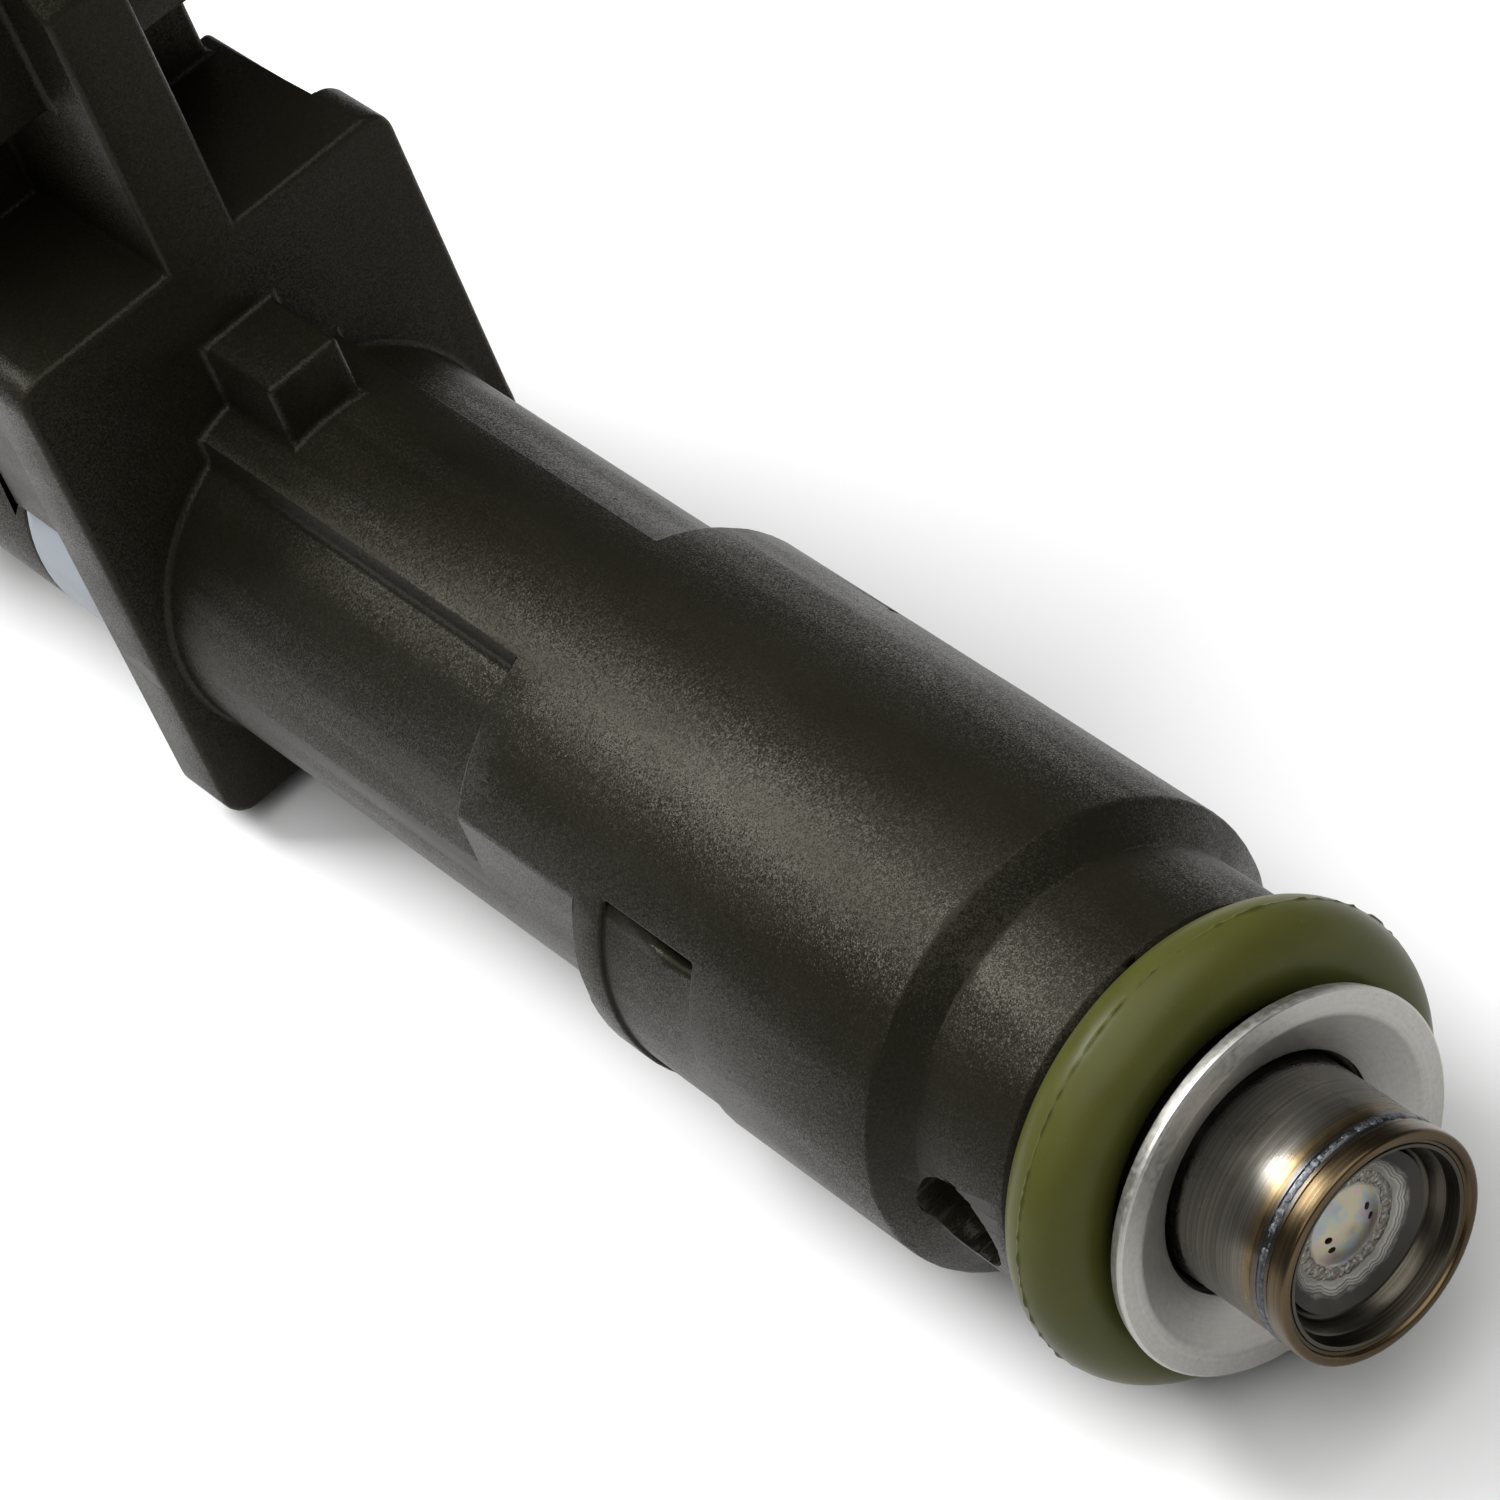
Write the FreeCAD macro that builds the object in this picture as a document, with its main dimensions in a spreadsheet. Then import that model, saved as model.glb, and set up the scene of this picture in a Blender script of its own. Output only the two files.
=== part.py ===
import FreeCAD, Part
import math
import os
import Sketcher

# Fuel injector, long body, bottom end facing -Y.
# Row frame in millimetres: +Y runs along the injector's axis from the spray tip to the fuel inlet, +Z points
# to the plug connector, and the origin is the centre of the lower seal. Every sketch measures its stations
# from the tip face, and each body's placement then moves the tip to -seal_station.

SIZES = [
    ("seal_station", 6.23, "tip face to the lower seal's centre, which is the row's origin"),
    ("seal_pitch", 60.65, "lower seal centre to upper seal centre"),
    ("tube_radius", 3.45, "outside of the valve tube and inlet tube"),
    ("tube_bore", 3.1, "inside of the valve tube and inlet tube"),
    ("rim_radius", 3.52, "rolled lip at the tip"),
    ("rim_length", 0.62, "length of the rolled lip"),
    ("bead_station", 0.95, "weld bead round the tip"),
    ("bead_height", 0.1, "weld bead above the tube"),
    ("bead_length", 0.32, "weld bead along the axis"),
    ("valve_tube_end", 17.0, "valve tube meets the non-magnetic sleeve"),
    ("sleeve_end", 20.5, "non-magnetic sleeve meets the inlet tube"),
    ("inlet_end", 69.5, "open end of the inlet tube"),
    ("inlet_seal_radius", 3.7, "inlet tube under the upper seal"),
    ("inlet_step", 62.5, "where the inlet tube leaves the housing"),
    ("inlet_flange_radius", 5.6, "flange that keeps the upper seal on"),
    ("inlet_flange_length", 0.8, "thickness of that flange"),
    ("seat_front", 0.06, "front edge of the valve seat"),
    ("seat_back", 3.3, "back face of the valve seat"),
    ("mouth_radius", 2.72, "recess in front of the orifice disc, at its mouth"),
    ("recess_radius", 2.45, "the same recess at the disc"),
    ("recess_depth", 1.0, "tip face to the disc's rim"),
    ("dish_radius", 1.6, "flat ring of the orifice disc"),
    ("dish_depth", 1.4, "tip face to that flat ring"),
    ("dome_radius", 1.15, "foot of the disc's dome"),
    ("dome_height", 0.26, "dome above its foot"),
    ("disc_thickness", 0.15, "orifice disc"),
    ("orifice_radius", 0.11, "each spray hole"),
    ("orifice_across", 0.72, "spray holes from the axis, along X"),
    ("orifice_pair", 0.2, "half the gap between the holes of a pair"),
    ("sac_radius", 0.6, "hole under the seat cone"),
    ("ball_radius", 1.6, "valve ball"),
    ("ball_gap", 0.01, "ball to seat cone, along the cone's normal"),
    ("guide_front", 3.35, "front face of the ball guide"),
    ("guide_length", 0.95, "thickness of the ball guide"),
    ("guide_gap", 0.03, "ball to guide bore, radial"),
    ("flow_radius", 0.45, "flow holes of the ball guide"),
    ("flow_circle", 2.35, "circle of those holes"),
    ("armature_stem_outer", 1.35, "tube between ball and armature"),
    ("armature_stem_bore", 0.95, "inside of that tube"),
    ("armature_front", 14.0, "front face of the armature"),
    ("armature_ledge", 15.4, "spring ledge inside the armature"),
    ("armature_back", 18.9, "back face of the armature"),
    ("armature_gap", 0.05, "armature to tube, radial"),
    ("pole_bore", 1.55, "bore of the pole piece and spring pocket"),
    ("pole_gap", 0.1, "air gap from armature to pole piece, over the 0.08 lift"),
    ("pole_end", 31.5, "back end of the pole piece"),
    ("spring_radius", 1.18, "mean radius of the return spring"),
    ("spring_wire", 0.22, "wire radius of the return spring"),
    ("spring_pitch", 0.95, "pitch of the return spring"),
    ("spring_length", 9.5, "helix length of the return spring"),
    ("adjuster_length", 9.0, "spring adjusting tube"),
    ("adjuster_bore", 0.9, "bore of the adjusting tube"),
    ("can_front", 8.9, "front of the coil can's nose"),
    ("can_nose_radius", 5.2, "coil can's nose"),
    ("can_step", 13.2, "where the can widens"),
    ("can_radius", 6.15, "coil can"),
    ("can_bore", 5.6, "inside of the coil can"),
    ("can_floor", 14.8, "inner floor of the coil can"),
    ("can_end", 30.9, "open end of the coil can"),
    ("flux_washer_length", 1.3, "flux washer that closes the can"),
    ("fit_gap", 0.03, "gap round pieces that slide over the tube"),
    ("bobbin_flange_radius", 5.55, "bobbin flange"),
    ("bobbin_hub_radius", 4.05, "bobbin hub"),
    ("bobbin_flange_length", 1.0, "thickness of a bobbin flange"),
    ("winding_radius", 5.35, "outside of the copper winding"),
    ("nose_front", 4.55, "front of the housing's seal nose"),
    ("nose_radius", 4.2, "seal nose"),
    ("neck_front", 7.75, "shoulder behind the lower seal"),
    ("neck_radius", 6.32, "neck behind the lower seal"),
    ("neck_end", 11.5, "where the chamfer starts"),
    ("barrel_front", 12.45, "where the chamfer reaches the barrel"),
    ("barrel_radius", 7.31, "barrel and key strip"),
    ("barrel_draft", 0.04, "how much the barrel tapers from the moulded panel to its end"),
    ("window_station", 10.15, "round window in each side of the neck"),
    ("window_radius", 1.55, "round window"),
    ("panel_front", 20.15, "shallow moulded panel on the barrel's -X side"),
    ("panel_end", 24.2, "end of that panel"),
    ("panel_depth", 0.13, "depth of that panel"),
    ("panel_angle", 65, "how far the panel reaches round the barrel, in degrees"),
    ("relief_front", 25.5, "underside of the barrel drops to the upper radius"),
    ("barrel_end", 31.0, "end of the barrel"),
    ("upper_radius", 6.434, "reduced barrel up to the flange"),
    ("key_half_width", 2.7, "key strip on the connector side"),
    ("flange_front", 46.73, "seating face of the flange"),
    ("flange_back", 49.3, "back of the flange"),
    ("flange_half_width", 7.25, "flange across X"),
    ("flange_top", 12.5, "flange edge towards the connector"),
    ("flange_bottom", 6.55, "flange edge below the axis"),
    ("flange_corner", 1.0, "corner radius of the flange"),
    ("lug_half_width", 1.36, "square locating lug"),
    ("lug_low", 6.88, "lug's lower side above the axis"),
    ("lug_high", 9.48, "lug's upper side above the axis"),
    ("lug_length", 3.4, "lug in front of the flange"),
    ("block_half_width", 6.25, "block behind the flange"),
    ("block_low", 2.5, "block's lower side above the axis"),
    ("collar_end", 54.7, "end of the block and of the half collar"),
    ("collar_bore", 4.62, "inside of the half collar"),
    ("collar_radius", 6.37, "outside of the half collar"),
    ("collar_gap", 0.02, "half collar to housing"),
    ("head_radius", 6.35, "housing between the half collar and the inlet"),
    ("rib_half_width", 1.35, "web under the connector"),
    ("rib_top", 22.5, "web's outer end above the axis"),
    ("web_chamfer", 2.8, "slope at the web's outer end"),
    ("neck_low", 4.0, "connector neck's root, inside the housing"),
    ("conn_neck_half_width", 5.6, "connector neck across X"),
    ("conn_neck_end", 60.9, "back of the connector neck"),
    ("shroud_low", 18.1, "back wall of the connector above the axis"),
    ("shroud_top", 29.0, "mouth of the connector above the axis"),
    ("shroud_front", 49.2, "connector shroud's tip side"),
    ("shroud_back", 62.2, "connector shroud's inlet side"),
    ("shroud_half_width", 8.2, "connector shroud across X"),
    ("shroud_wall", 1.5, "wall of the connector shroud"),
    ("shroud_corner", 2.0, "outer corner radius of the shroud"),
    ("socket_corner", 1.0, "inner corner radius of the shroud"),
    ("key_rib_width", 1.0, "polarising ribs on the shroud"),
    ("key_rib_height", 0.8, "height of those ribs"),
    ("latch_half_width", 2.2, "latch ramp on the shroud"),
    ("latch_height", 1.1, "height of the latch ramp"),
    ("latch_low", 24.0, "latch ramp's square end above the axis"),
    ("latch_top", 27.4, "latch ramp's thin end above the axis"),
    ("pin_pitch", 4.4, "terminal to terminal"),
    ("pin_width", 1.5, "width of a terminal"),
    ("pin_thickness", 0.6, "thickness of a terminal"),
    ("pin_leg_height", 3.95, "terminal leg above the axis"),
    ("pin_root", 29.5, "where a terminal leaves the bobbin"),
    ("pin_station", 56.0, "back face of the blade in the socket"),
    ("pin_tip", 26.0, "end of the blade above the axis"),
    ("lower_ring_radius", 5.79, "lower seal, circle of its section's centre"),
    ("lower_ring_section", 1.5, "lower seal, radius of its section"),
    ("upper_ring_radius", 5.525, "upper seal, circle of its section's centre"),
    ("upper_ring_section", 1.765, "upper seal, radius of its section"),
    ("retainer_front", 3.74, "front face of the seal retainer"),
    ("retainer_thickness", 0.6, "sheet of the seal retainer"),
    ("retainer_radius", 5.83, "outside of the seal retainer"),
    ("retainer_flat_radius", 4.95, "where its lip starts to curve in"),
    ("retainer_bore", 3.68, "hole of the seal retainer"),
    ("retainer_dish", 0.15, "depth of the lip behind the back face"),
    ("backing_radius", 6.3, "backing ring behind the upper seal"),
    ("backing_length", 2.45, "length of the backing ring"),
    ("filter_collar_length", 2.2, "brass collar of the inlet filter"),
    ("filter_radius", 2.75, "inlet filter's frame"),
    ("filter_length", 9.0, "inlet filter's frame behind the collar"),
    ("filter_wall", 0.5, "wall of the filter frame"),
    ("filter_window", 1.1, "half width of the windows in the filter frame"),
    ("mesh_thickness", 0.12, "filter mesh sleeve"),
]

doc = FreeCAD.newDocument("fuel_injector")
sheet = doc.addObject("Spreadsheet::Sheet", "Dims")
for row, (alias, size, note) in enumerate(SIZES, start=1):
    sheet.set("A%d" % row, alias)
    sheet.set("B%d" % row, str(size))
    sheet.setAlias("B%d" % row, alias)
    sheet.set("C%d" % row, note)
doc.recompute()

parts = []


def value(text):
    """The number that an expression over the sheet gives now."""
    result = sheet.evalExpression(text.replace("Dims.", ""))
    return float(getattr(result, "Value", result))


def new_body(name):
    """A body in the row frame whose own origin is the tip face."""
    body = doc.addObject("PartDesign::Body", name)
    body.Label = name
    body.setExpression(".Placement.Base.y", "-Dims.seal_station")
    return body


def keep(feature, name):
    """Lists a finished sub-part under the name of its file."""
    feature.Label = name
    parts.append(feature)
    return feature


def new_sketch(body, name, role, offset=None):
    """A sketch on one of the body's origin planes, moved along the plane's normal by an expression."""
    sketch = body.newObject("Sketcher::SketchObject", name)
    plane = [item for item in body.Origin.OriginFeatures if item.Role == role][0]
    sketch.AttachmentSupport = [(plane, "")]
    sketch.MapMode = "FlatFace"
    if offset:
        sketch.setExpression("AttachmentOffset.Base.z", offset)
    return sketch


def bind(sketch, kind, where, text):
    """Adds a dimension and ties it to an expression."""
    number = sketch.addConstraint(Sketcher.Constraint(kind, *where, value(text)))
    sketch.setExpression("Constraints[%d]" % number, text)


def pin_point(sketch, edge, end, across, along):
    """Places one end of an edge by its two distances from the sketch's origin."""
    for kind, axis, text in (("DistanceX", -2, across), ("DistanceY", -1, along)):
        if text == "0":
            sketch.addConstraint(Sketcher.Constraint("PointOnObject", edge, end, axis))
        else:
            bind(sketch, kind, (-1, 1, edge, end), text)


def polygon(sketch, points):
    """A closed outline whose corners are pairs of expressions."""
    corners = [FreeCAD.Vector(value(a), value(b), 0) for a, b in points]
    count = len(corners)
    for index in range(count):
        sketch.addGeometry(Part.LineSegment(corners[index], corners[(index + 1) % count]), False)
    for index in range(count):
        sketch.addConstraint(Sketcher.Constraint("Coincident", index, 2, (index + 1) % count, 1))
    for index, (across, along) in enumerate(points):
        pin_point(sketch, index, 1, across, along)


def turn(body, name, points, kind="Revolution"):
    """Turns an outline of (radius, station) corners round the injector's axis."""
    sketch = new_sketch(body, name + "_outline", "XY_Plane")
    polygon(sketch, points)
    feature = body.newObject("PartDesign::" + kind, name)
    feature.Profile = sketch
    feature.ReferenceAxis = (sketch, ["V_Axis"])
    feature.Angle = 360.0
    return feature


def turned(name, points):
    """A whole sub-part made by turning one outline."""
    body = new_body(name)
    turn(body, name + "_turned", points)
    return body


def slab(body, name, points, width, kind="Pad"):
    """A side-view outline of (station, height) corners, as wide as width and centred on the axis."""
    sketch = new_sketch(body, name + "_outline", "YZ_Plane")
    polygon(sketch, points)
    feature = body.newObject("PartDesign::" + kind, name)
    feature.Profile = sketch
    feature.setExpression("Length", width)
    feature.Midplane = True
    return feature


def box_outline(front, back, low, high):
    """The four corners of a rectangle in the side view."""
    return [(front, low), (back, low), (back, high), (front, high)]


def edges_where(feature, test):
    """Names of the feature's edges whose two ends both pass the test."""
    names = []
    for number, edge in enumerate(feature.Shape.Edges, start=1):
        if len(edge.Vertexes) == 2 and all(test(vertex.Point) for vertex in edge.Vertexes):
            names.append("Edge%d" % number)
    return names


def round_edges(body, name, base, edges, radius):
    """Rounds the named edges of the base feature."""
    fillet = body.newObject("PartDesign::Fillet", name)
    fillet.Base = (base, edges)
    fillet.setExpression("Radius", radius)
    return fillet


def near(number, text):
    """True where a coordinate equals an expression's value."""
    return abs(number - value(text)) < 1e-4


# ---- metal tube that carries the fuel -------------------------------------------------------------------

def make_valve_tube():
    bead_front = "Dims.bead_station - Dims.bead_length / 2"
    bead_back = "Dims.bead_station + Dims.bead_length / 2"
    bead_top = "Dims.tube_radius + Dims.bead_height"
    outline = [
        ("Dims.tube_bore", "0"),
        ("Dims.rim_radius", "0"),
        ("Dims.rim_radius", "Dims.rim_length"),
        ("Dims.tube_radius", "Dims.rim_length + 0.05"),
        ("Dims.tube_radius", bead_front),
        (bead_top, bead_front + " + Dims.bead_height"),
        (bead_top, bead_back + " - Dims.bead_height"),
        ("Dims.tube_radius", bead_back),
        ("Dims.tube_radius", "Dims.valve_tube_end"),
        ("Dims.tube_bore", "Dims.valve_tube_end"),
    ]
    body = new_body("valve_tube")
    base = turn(body, "valve_tube_turned", outline)
    doc.recompute()
    lip = [
        "Edge%d" % number
        for number, edge in enumerate(base.Shape.Edges, start=1)
        if isinstance(edge.Curve, Part.Circle)
        and near(edge.Curve.Radius, "Dims.rim_radius")
        and near(edge.Curve.Center.y, "0")
    ]
    round_edges(body, "rolled_lip", base, lip, "Dims.rim_radius - Dims.tube_bore - 0.14")
    keep(body, "valve_tube")


def plain_tube(name, bore, radius, front, back):
    """A straight tube between two stations."""
    return turned(name, [(bore, front), (radius, front), (radius, back), (bore, back)])


def make_inlet_tube():
    flange_front = "Dims.inlet_end - Dims.inlet_flange_length"
    outline = [
        ("Dims.tube_bore", "Dims.sleeve_end"),
        ("Dims.tube_radius", "Dims.sleeve_end"),
        ("Dims.tube_radius", "Dims.inlet_step"),
        ("Dims.inlet_seal_radius", "Dims.inlet_step + 0.25"),
        ("Dims.inlet_seal_radius", flange_front),
        ("Dims.inlet_flange_radius", flange_front),
        ("Dims.inlet_flange_radius", "Dims.inlet_end - 0.3"),
        ("Dims.inlet_flange_radius - 0.3", "Dims.inlet_end"),
        ("Dims.tube_bore + 0.35", "Dims.inlet_end"),
        ("Dims.tube_bore", "Dims.inlet_end - 0.35"),
    ]
    keep(turned("inlet_tube", outline), "inlet_tube")


# ---- valve group ----------------------------------------------------------------------------------------

def make_valve_seat():
    step = "Dims.dish_depth + Dims.disc_thickness"
    outline = [
        ("Dims.mouth_radius", "Dims.seat_front"),
        ("Dims.tube_bore - 0.03", "Dims.seat_front"),
        ("Dims.tube_bore", "Dims.seat_front + 0.06"),
        ("Dims.tube_bore", "Dims.seat_back"),
        ("Dims.sac_radius + Dims.seat_back - " + step + " - 0.35", "Dims.seat_back"),
        ("Dims.sac_radius", step + " + 0.35"),
        ("Dims.sac_radius", step),
        ("Dims.dish_radius", step),
        ("Dims.recess_radius", "Dims.recess_depth + Dims.disc_thickness"),
        ("Dims.recess_radius", "Dims.recess_depth"),
    ]
    keep(turned("valve_seat", outline), "valve_seat")


def make_orifice_disc():
    """A thin dished disc with a dome and four spray holes."""
    body = new_body("orifice_disc")
    sketch = new_sketch(body, "disc_outline", "XY_Plane")
    foot, top = value("Dims.dish_depth"), value("Dims.dish_depth - Dims.dome_height")
    reach = value("Dims.dome_radius")
    thick = value("Dims.disc_thickness")
    ball = (reach**2 + (foot - top) ** 2) / (2 * (foot - top))
    middle = FreeCAD.Vector(0, top + ball, 0)
    face = [
        FreeCAD.Vector(0, top, 0),
        middle + ball * FreeCAD.Vector(math.sin(0.5 * math.asin(reach / ball)),
                                       -math.cos(0.5 * math.asin(reach / ball)), 0),
        FreeCAD.Vector(reach, foot, 0),
        FreeCAD.Vector(value("Dims.dish_radius"), foot, 0),
        FreeCAD.Vector(value("Dims.recess_radius"), value("Dims.recess_depth"), 0),
    ]
    back = [point + FreeCAD.Vector(0, thick, 0) for point in face]
    front_arc = sketch.addGeometry(Part.Arc(face[0], face[1], face[2]), False)
    lines = [(face[2], face[3]), (face[3], face[4]), (face[4], back[4])]
    lines += [(back[4], back[3]), (back[3], back[2])]
    for start, end in lines:
        sketch.addGeometry(Part.LineSegment(start, end), False)
    back_arc = sketch.addGeometry(Part.Arc(back[2], back[1], back[0]), False)
    sketch.addGeometry(Part.LineSegment(back[0], face[0]), False)
    revolution = body.newObject("PartDesign::Revolution", "disc_turned")
    revolution.Profile = sketch
    revolution.ReferenceAxis = (sketch, ["V_Axis"])
    revolution.Angle = 360.0
    holes = new_sketch(body, "spray_holes", "XZ_Plane", "0 - Dims.dish_depth - 1")
    for number, (side, pair) in enumerate([(1, 1), (1, -1), (-1, 1), (-1, -1)]):
        centre = FreeCAD.Vector(side * value("Dims.orifice_across"), pair * value("Dims.orifice_pair"), 0)
        holes.addGeometry(Part.Circle(centre, FreeCAD.Vector(0, 0, 1), value("Dims.orifice_radius")), False)
        bind(holes, "DistanceX", (-1, 1, number, 3), "%d * Dims.orifice_across" % side)
        bind(holes, "DistanceY", (-1, 1, number, 3), "%d * Dims.orifice_pair" % pair)
        bind(holes, "Radius", (number,), "Dims.orifice_radius")
    drill = body.newObject("PartDesign::Pocket", "spray_holes_cut")
    drill.Profile = holes
    drill.Type = "ThroughAll"
    drill.Midplane = True
    keep(body, "orifice_disc")


def ball_centre():
    """Expression for the ball centre's station: it rests on the 45 degree seat cone."""
    cone_foot = "(Dims.dish_depth + Dims.disc_thickness + 0.35 - Dims.sac_radius)"
    return "(" + cone_foot + " + sqrt(2) * (Dims.ball_radius + Dims.ball_gap))"


def make_valve_ball():
    ball = doc.addObject("Part::Sphere", "valve_ball")
    ball.setExpression("Radius", "Dims.ball_radius")
    ball.setExpression(".Placement.Base.y", ball_centre() + " - Dims.seal_station")
    keep(ball, "valve_ball")


def make_ball_guide():
    body = new_body("ball_guide")
    bore = "Dims.ball_radius + Dims.guide_gap"
    back = "Dims.guide_front + Dims.guide_length"
    outline = [
        (bore, "Dims.guide_front"),
        ("Dims.tube_bore", "Dims.guide_front"),
        ("Dims.tube_bore", back),
        (bore, back),
    ]
    turn(body, "guide_turned", outline)
    hole = new_sketch(body, "flow_hole", "XZ_Plane", "0 - Dims.guide_front")
    hole.addGeometry(Part.Circle(FreeCAD.Vector(value("Dims.flow_circle"), 0, 0), FreeCAD.Vector(0, 0, 1),
                                 value("Dims.flow_radius")), False)
    pin_point(hole, 0, 3, "Dims.flow_circle", "0")
    bind(hole, "Radius", (0,), "Dims.flow_radius")
    pocket = body.newObject("PartDesign::Pocket", "flow_hole_cut")
    pocket.Profile = hole
    pocket.Type = "ThroughAll"
    pocket.Midplane = True
    ring = body.newObject("PartDesign::PolarPattern", "flow_holes")
    ring.Originals = [pocket]
    ring.Axis = (hole, ["N_Axis"])
    ring.Angle = 360.0
    ring.Occurrences = 5
    body.Tip = ring
    keep(body, "ball_guide")


def make_armature():
    stem_front = ball_centre() + " + sqrt(Dims.ball_radius * Dims.ball_radius"
    stem_front += " - Dims.armature_stem_bore * Dims.armature_stem_bore) + 0.01"
    stem = plain_tube("armature_stem", "Dims.armature_stem_bore", "Dims.armature_stem_outer",
                      stem_front, "Dims.armature_ledge")
    hole = new_sketch(stem, "flow_window", "YZ_Plane")
    hole.addGeometry(Part.Circle(FreeCAD.Vector(7, 0, 0), FreeCAD.Vector(0, 0, 1), 0.4), False)
    pin_point(hole, 0, 3, stem_front + " + 2", "0")
    bind(hole, "Radius", (0,), "Dims.flow_radius")
    cut = stem.newObject("PartDesign::Pocket", "flow_window_cut")
    cut.Profile = hole
    cut.Type = "ThroughAll"
    cut.Midplane = True
    keep(stem, "armature_stem")
    outer = "Dims.tube_bore - Dims.armature_gap"
    outline = [
        ("Dims.armature_stem_outer", "Dims.armature_front"),
        (outer + " - 0.4", "Dims.armature_front"),
        (outer, "Dims.armature_front + 0.4"),
        (outer, "Dims.armature_back"),
        ("Dims.pole_bore", "Dims.armature_back"),
        ("Dims.pole_bore", "Dims.armature_ledge"),
        ("Dims.armature_stem_outer", "Dims.armature_ledge"),
    ]
    keep(turned("armature_core", outline), "armature_core")


def make_pole_and_spring():
    pole_front = "Dims.armature_back + Dims.pole_gap"
    pole = plain_tube("pole_piece", "Dims.pole_bore", "Dims.tube_bore", pole_front, "Dims.pole_end")
    keep(pole, "pole_piece")
    start = "Dims.armature_ledge + Dims.spring_wire + 0.1"
    helix = doc.addObject("Part::Helix", "spring_path")
    helix.setExpression("Pitch", "Dims.spring_pitch")
    helix.setExpression("Height", "Dims.spring_length")
    helix.setExpression("Radius", "Dims.spring_radius")
    wire = doc.addObject("Part::Circle", "spring_wire_section")
    wire.setExpression("Radius", "Dims.spring_wire")
    wire.Placement = FreeCAD.Placement(FreeCAD.Vector(0, 0, 0), FreeCAD.Rotation(FreeCAD.Vector(1, 0, 0), 90))
    wire.setExpression(".Placement.Base.x", "Dims.spring_radius")
    spring = doc.addObject("Part::Sweep", "return_spring")
    spring.Sections = [wire]
    spring.Spine = (helix, [])
    spring.Solid = True
    spring.Frenet = True
    upright_to_axis = FreeCAD.Rotation(FreeCAD.Vector(1, 0, 0), -90)
    spring.Placement = FreeCAD.Placement(FreeCAD.Vector(0, 0, 0), upright_to_axis)
    spring.setExpression(".Placement.Base.y", start + " - Dims.seal_station")
    keep(spring, "return_spring")
    front = start + " + Dims.spring_length + Dims.spring_wire"
    keep(plain_tube("adjusting_tube", "Dims.adjuster_bore", "Dims.pole_bore", front,
                    front + " + Dims.adjuster_length"), "adjusting_tube")


# ---- coil group -----------------------------------------------------------------------------------------

def make_coil_group():
    over_tube = "Dims.tube_radius + Dims.fit_gap"
    can = [
        (over_tube, "Dims.can_front"),
        ("Dims.can_nose_radius", "Dims.can_front"),
        ("Dims.can_nose_radius", "Dims.can_step"),
        ("Dims.can_radius", "Dims.can_step"),
        ("Dims.can_radius", "Dims.can_end"),
        ("Dims.can_bore", "Dims.can_end"),
        ("Dims.can_bore", "Dims.can_floor"),
        (over_tube, "Dims.can_floor"),
    ]
    keep(turned("coil_can", can), "coil_can")
    low_inner = "Dims.can_floor + 0.05 + Dims.bobbin_flange_length"
    high_inner = "Dims.pin_root - Dims.bobbin_flange_length"
    bobbin = [
        (over_tube, "Dims.can_floor + 0.05"),
        ("Dims.bobbin_flange_radius", "Dims.can_floor + 0.05"),
        ("Dims.bobbin_flange_radius", low_inner),
        ("Dims.bobbin_hub_radius", low_inner),
        ("Dims.bobbin_hub_radius", high_inner),
        ("Dims.bobbin_flange_radius", high_inner),
        ("Dims.bobbin_flange_radius", "Dims.pin_root"),
        (over_tube, "Dims.pin_root"),
    ]
    keep(turned("coil_bobbin", bobbin), "coil_bobbin")
    keep(plain_tube("coil_winding", "Dims.bobbin_hub_radius", "Dims.winding_radius", low_inner, high_inner),
         "coil_winding")
    washer = plain_tube("flux_washer", over_tube, "Dims.can_bore", "Dims.can_end - Dims.flux_washer_length",
                        "Dims.can_end")
    slot = box_outline("Dims.can_end - 2", "Dims.can_end + 1", "Dims.pin_leg_height - 0.2",
                       "Dims.can_bore + 1")
    slab(washer, "terminal_slot", slot, "Dims.pin_pitch + Dims.pin_width + 0.4", "Pocket")
    keep(washer, "flux_washer")


def make_terminals():
    """Two flat strips: a leg along the tube, then a blade that stands up in the socket."""
    terminals = []
    leg_top = "Dims.pin_leg_height + Dims.pin_thickness"
    blade_front = "Dims.pin_station - Dims.pin_thickness"
    outline = [
        ("Dims.pin_root", "Dims.pin_leg_height"),
        ("Dims.pin_station", "Dims.pin_leg_height"),
        ("Dims.pin_station", "Dims.pin_tip - 0.5"),
        ("Dims.pin_station - 0.15", "Dims.pin_tip"),
        (blade_front + " + 0.15", "Dims.pin_tip"),
        (blade_front, "Dims.pin_tip - 0.5"),
        (blade_front, leg_top),
        ("Dims.pin_root", leg_top),
    ]
    for name, side in (("terminal_left", -1), ("terminal_right", 1)):
        body = new_body(name)
        slab(body, name + "_strip", outline, "Dims.pin_width")
        body.setExpression(".Placement.Base.x", "%d * Dims.pin_pitch / 2" % side)
        terminals.append(keep(body, name))
    return terminals


# ---- overmoulded housing --------------------------------------------------------------------------------

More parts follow.
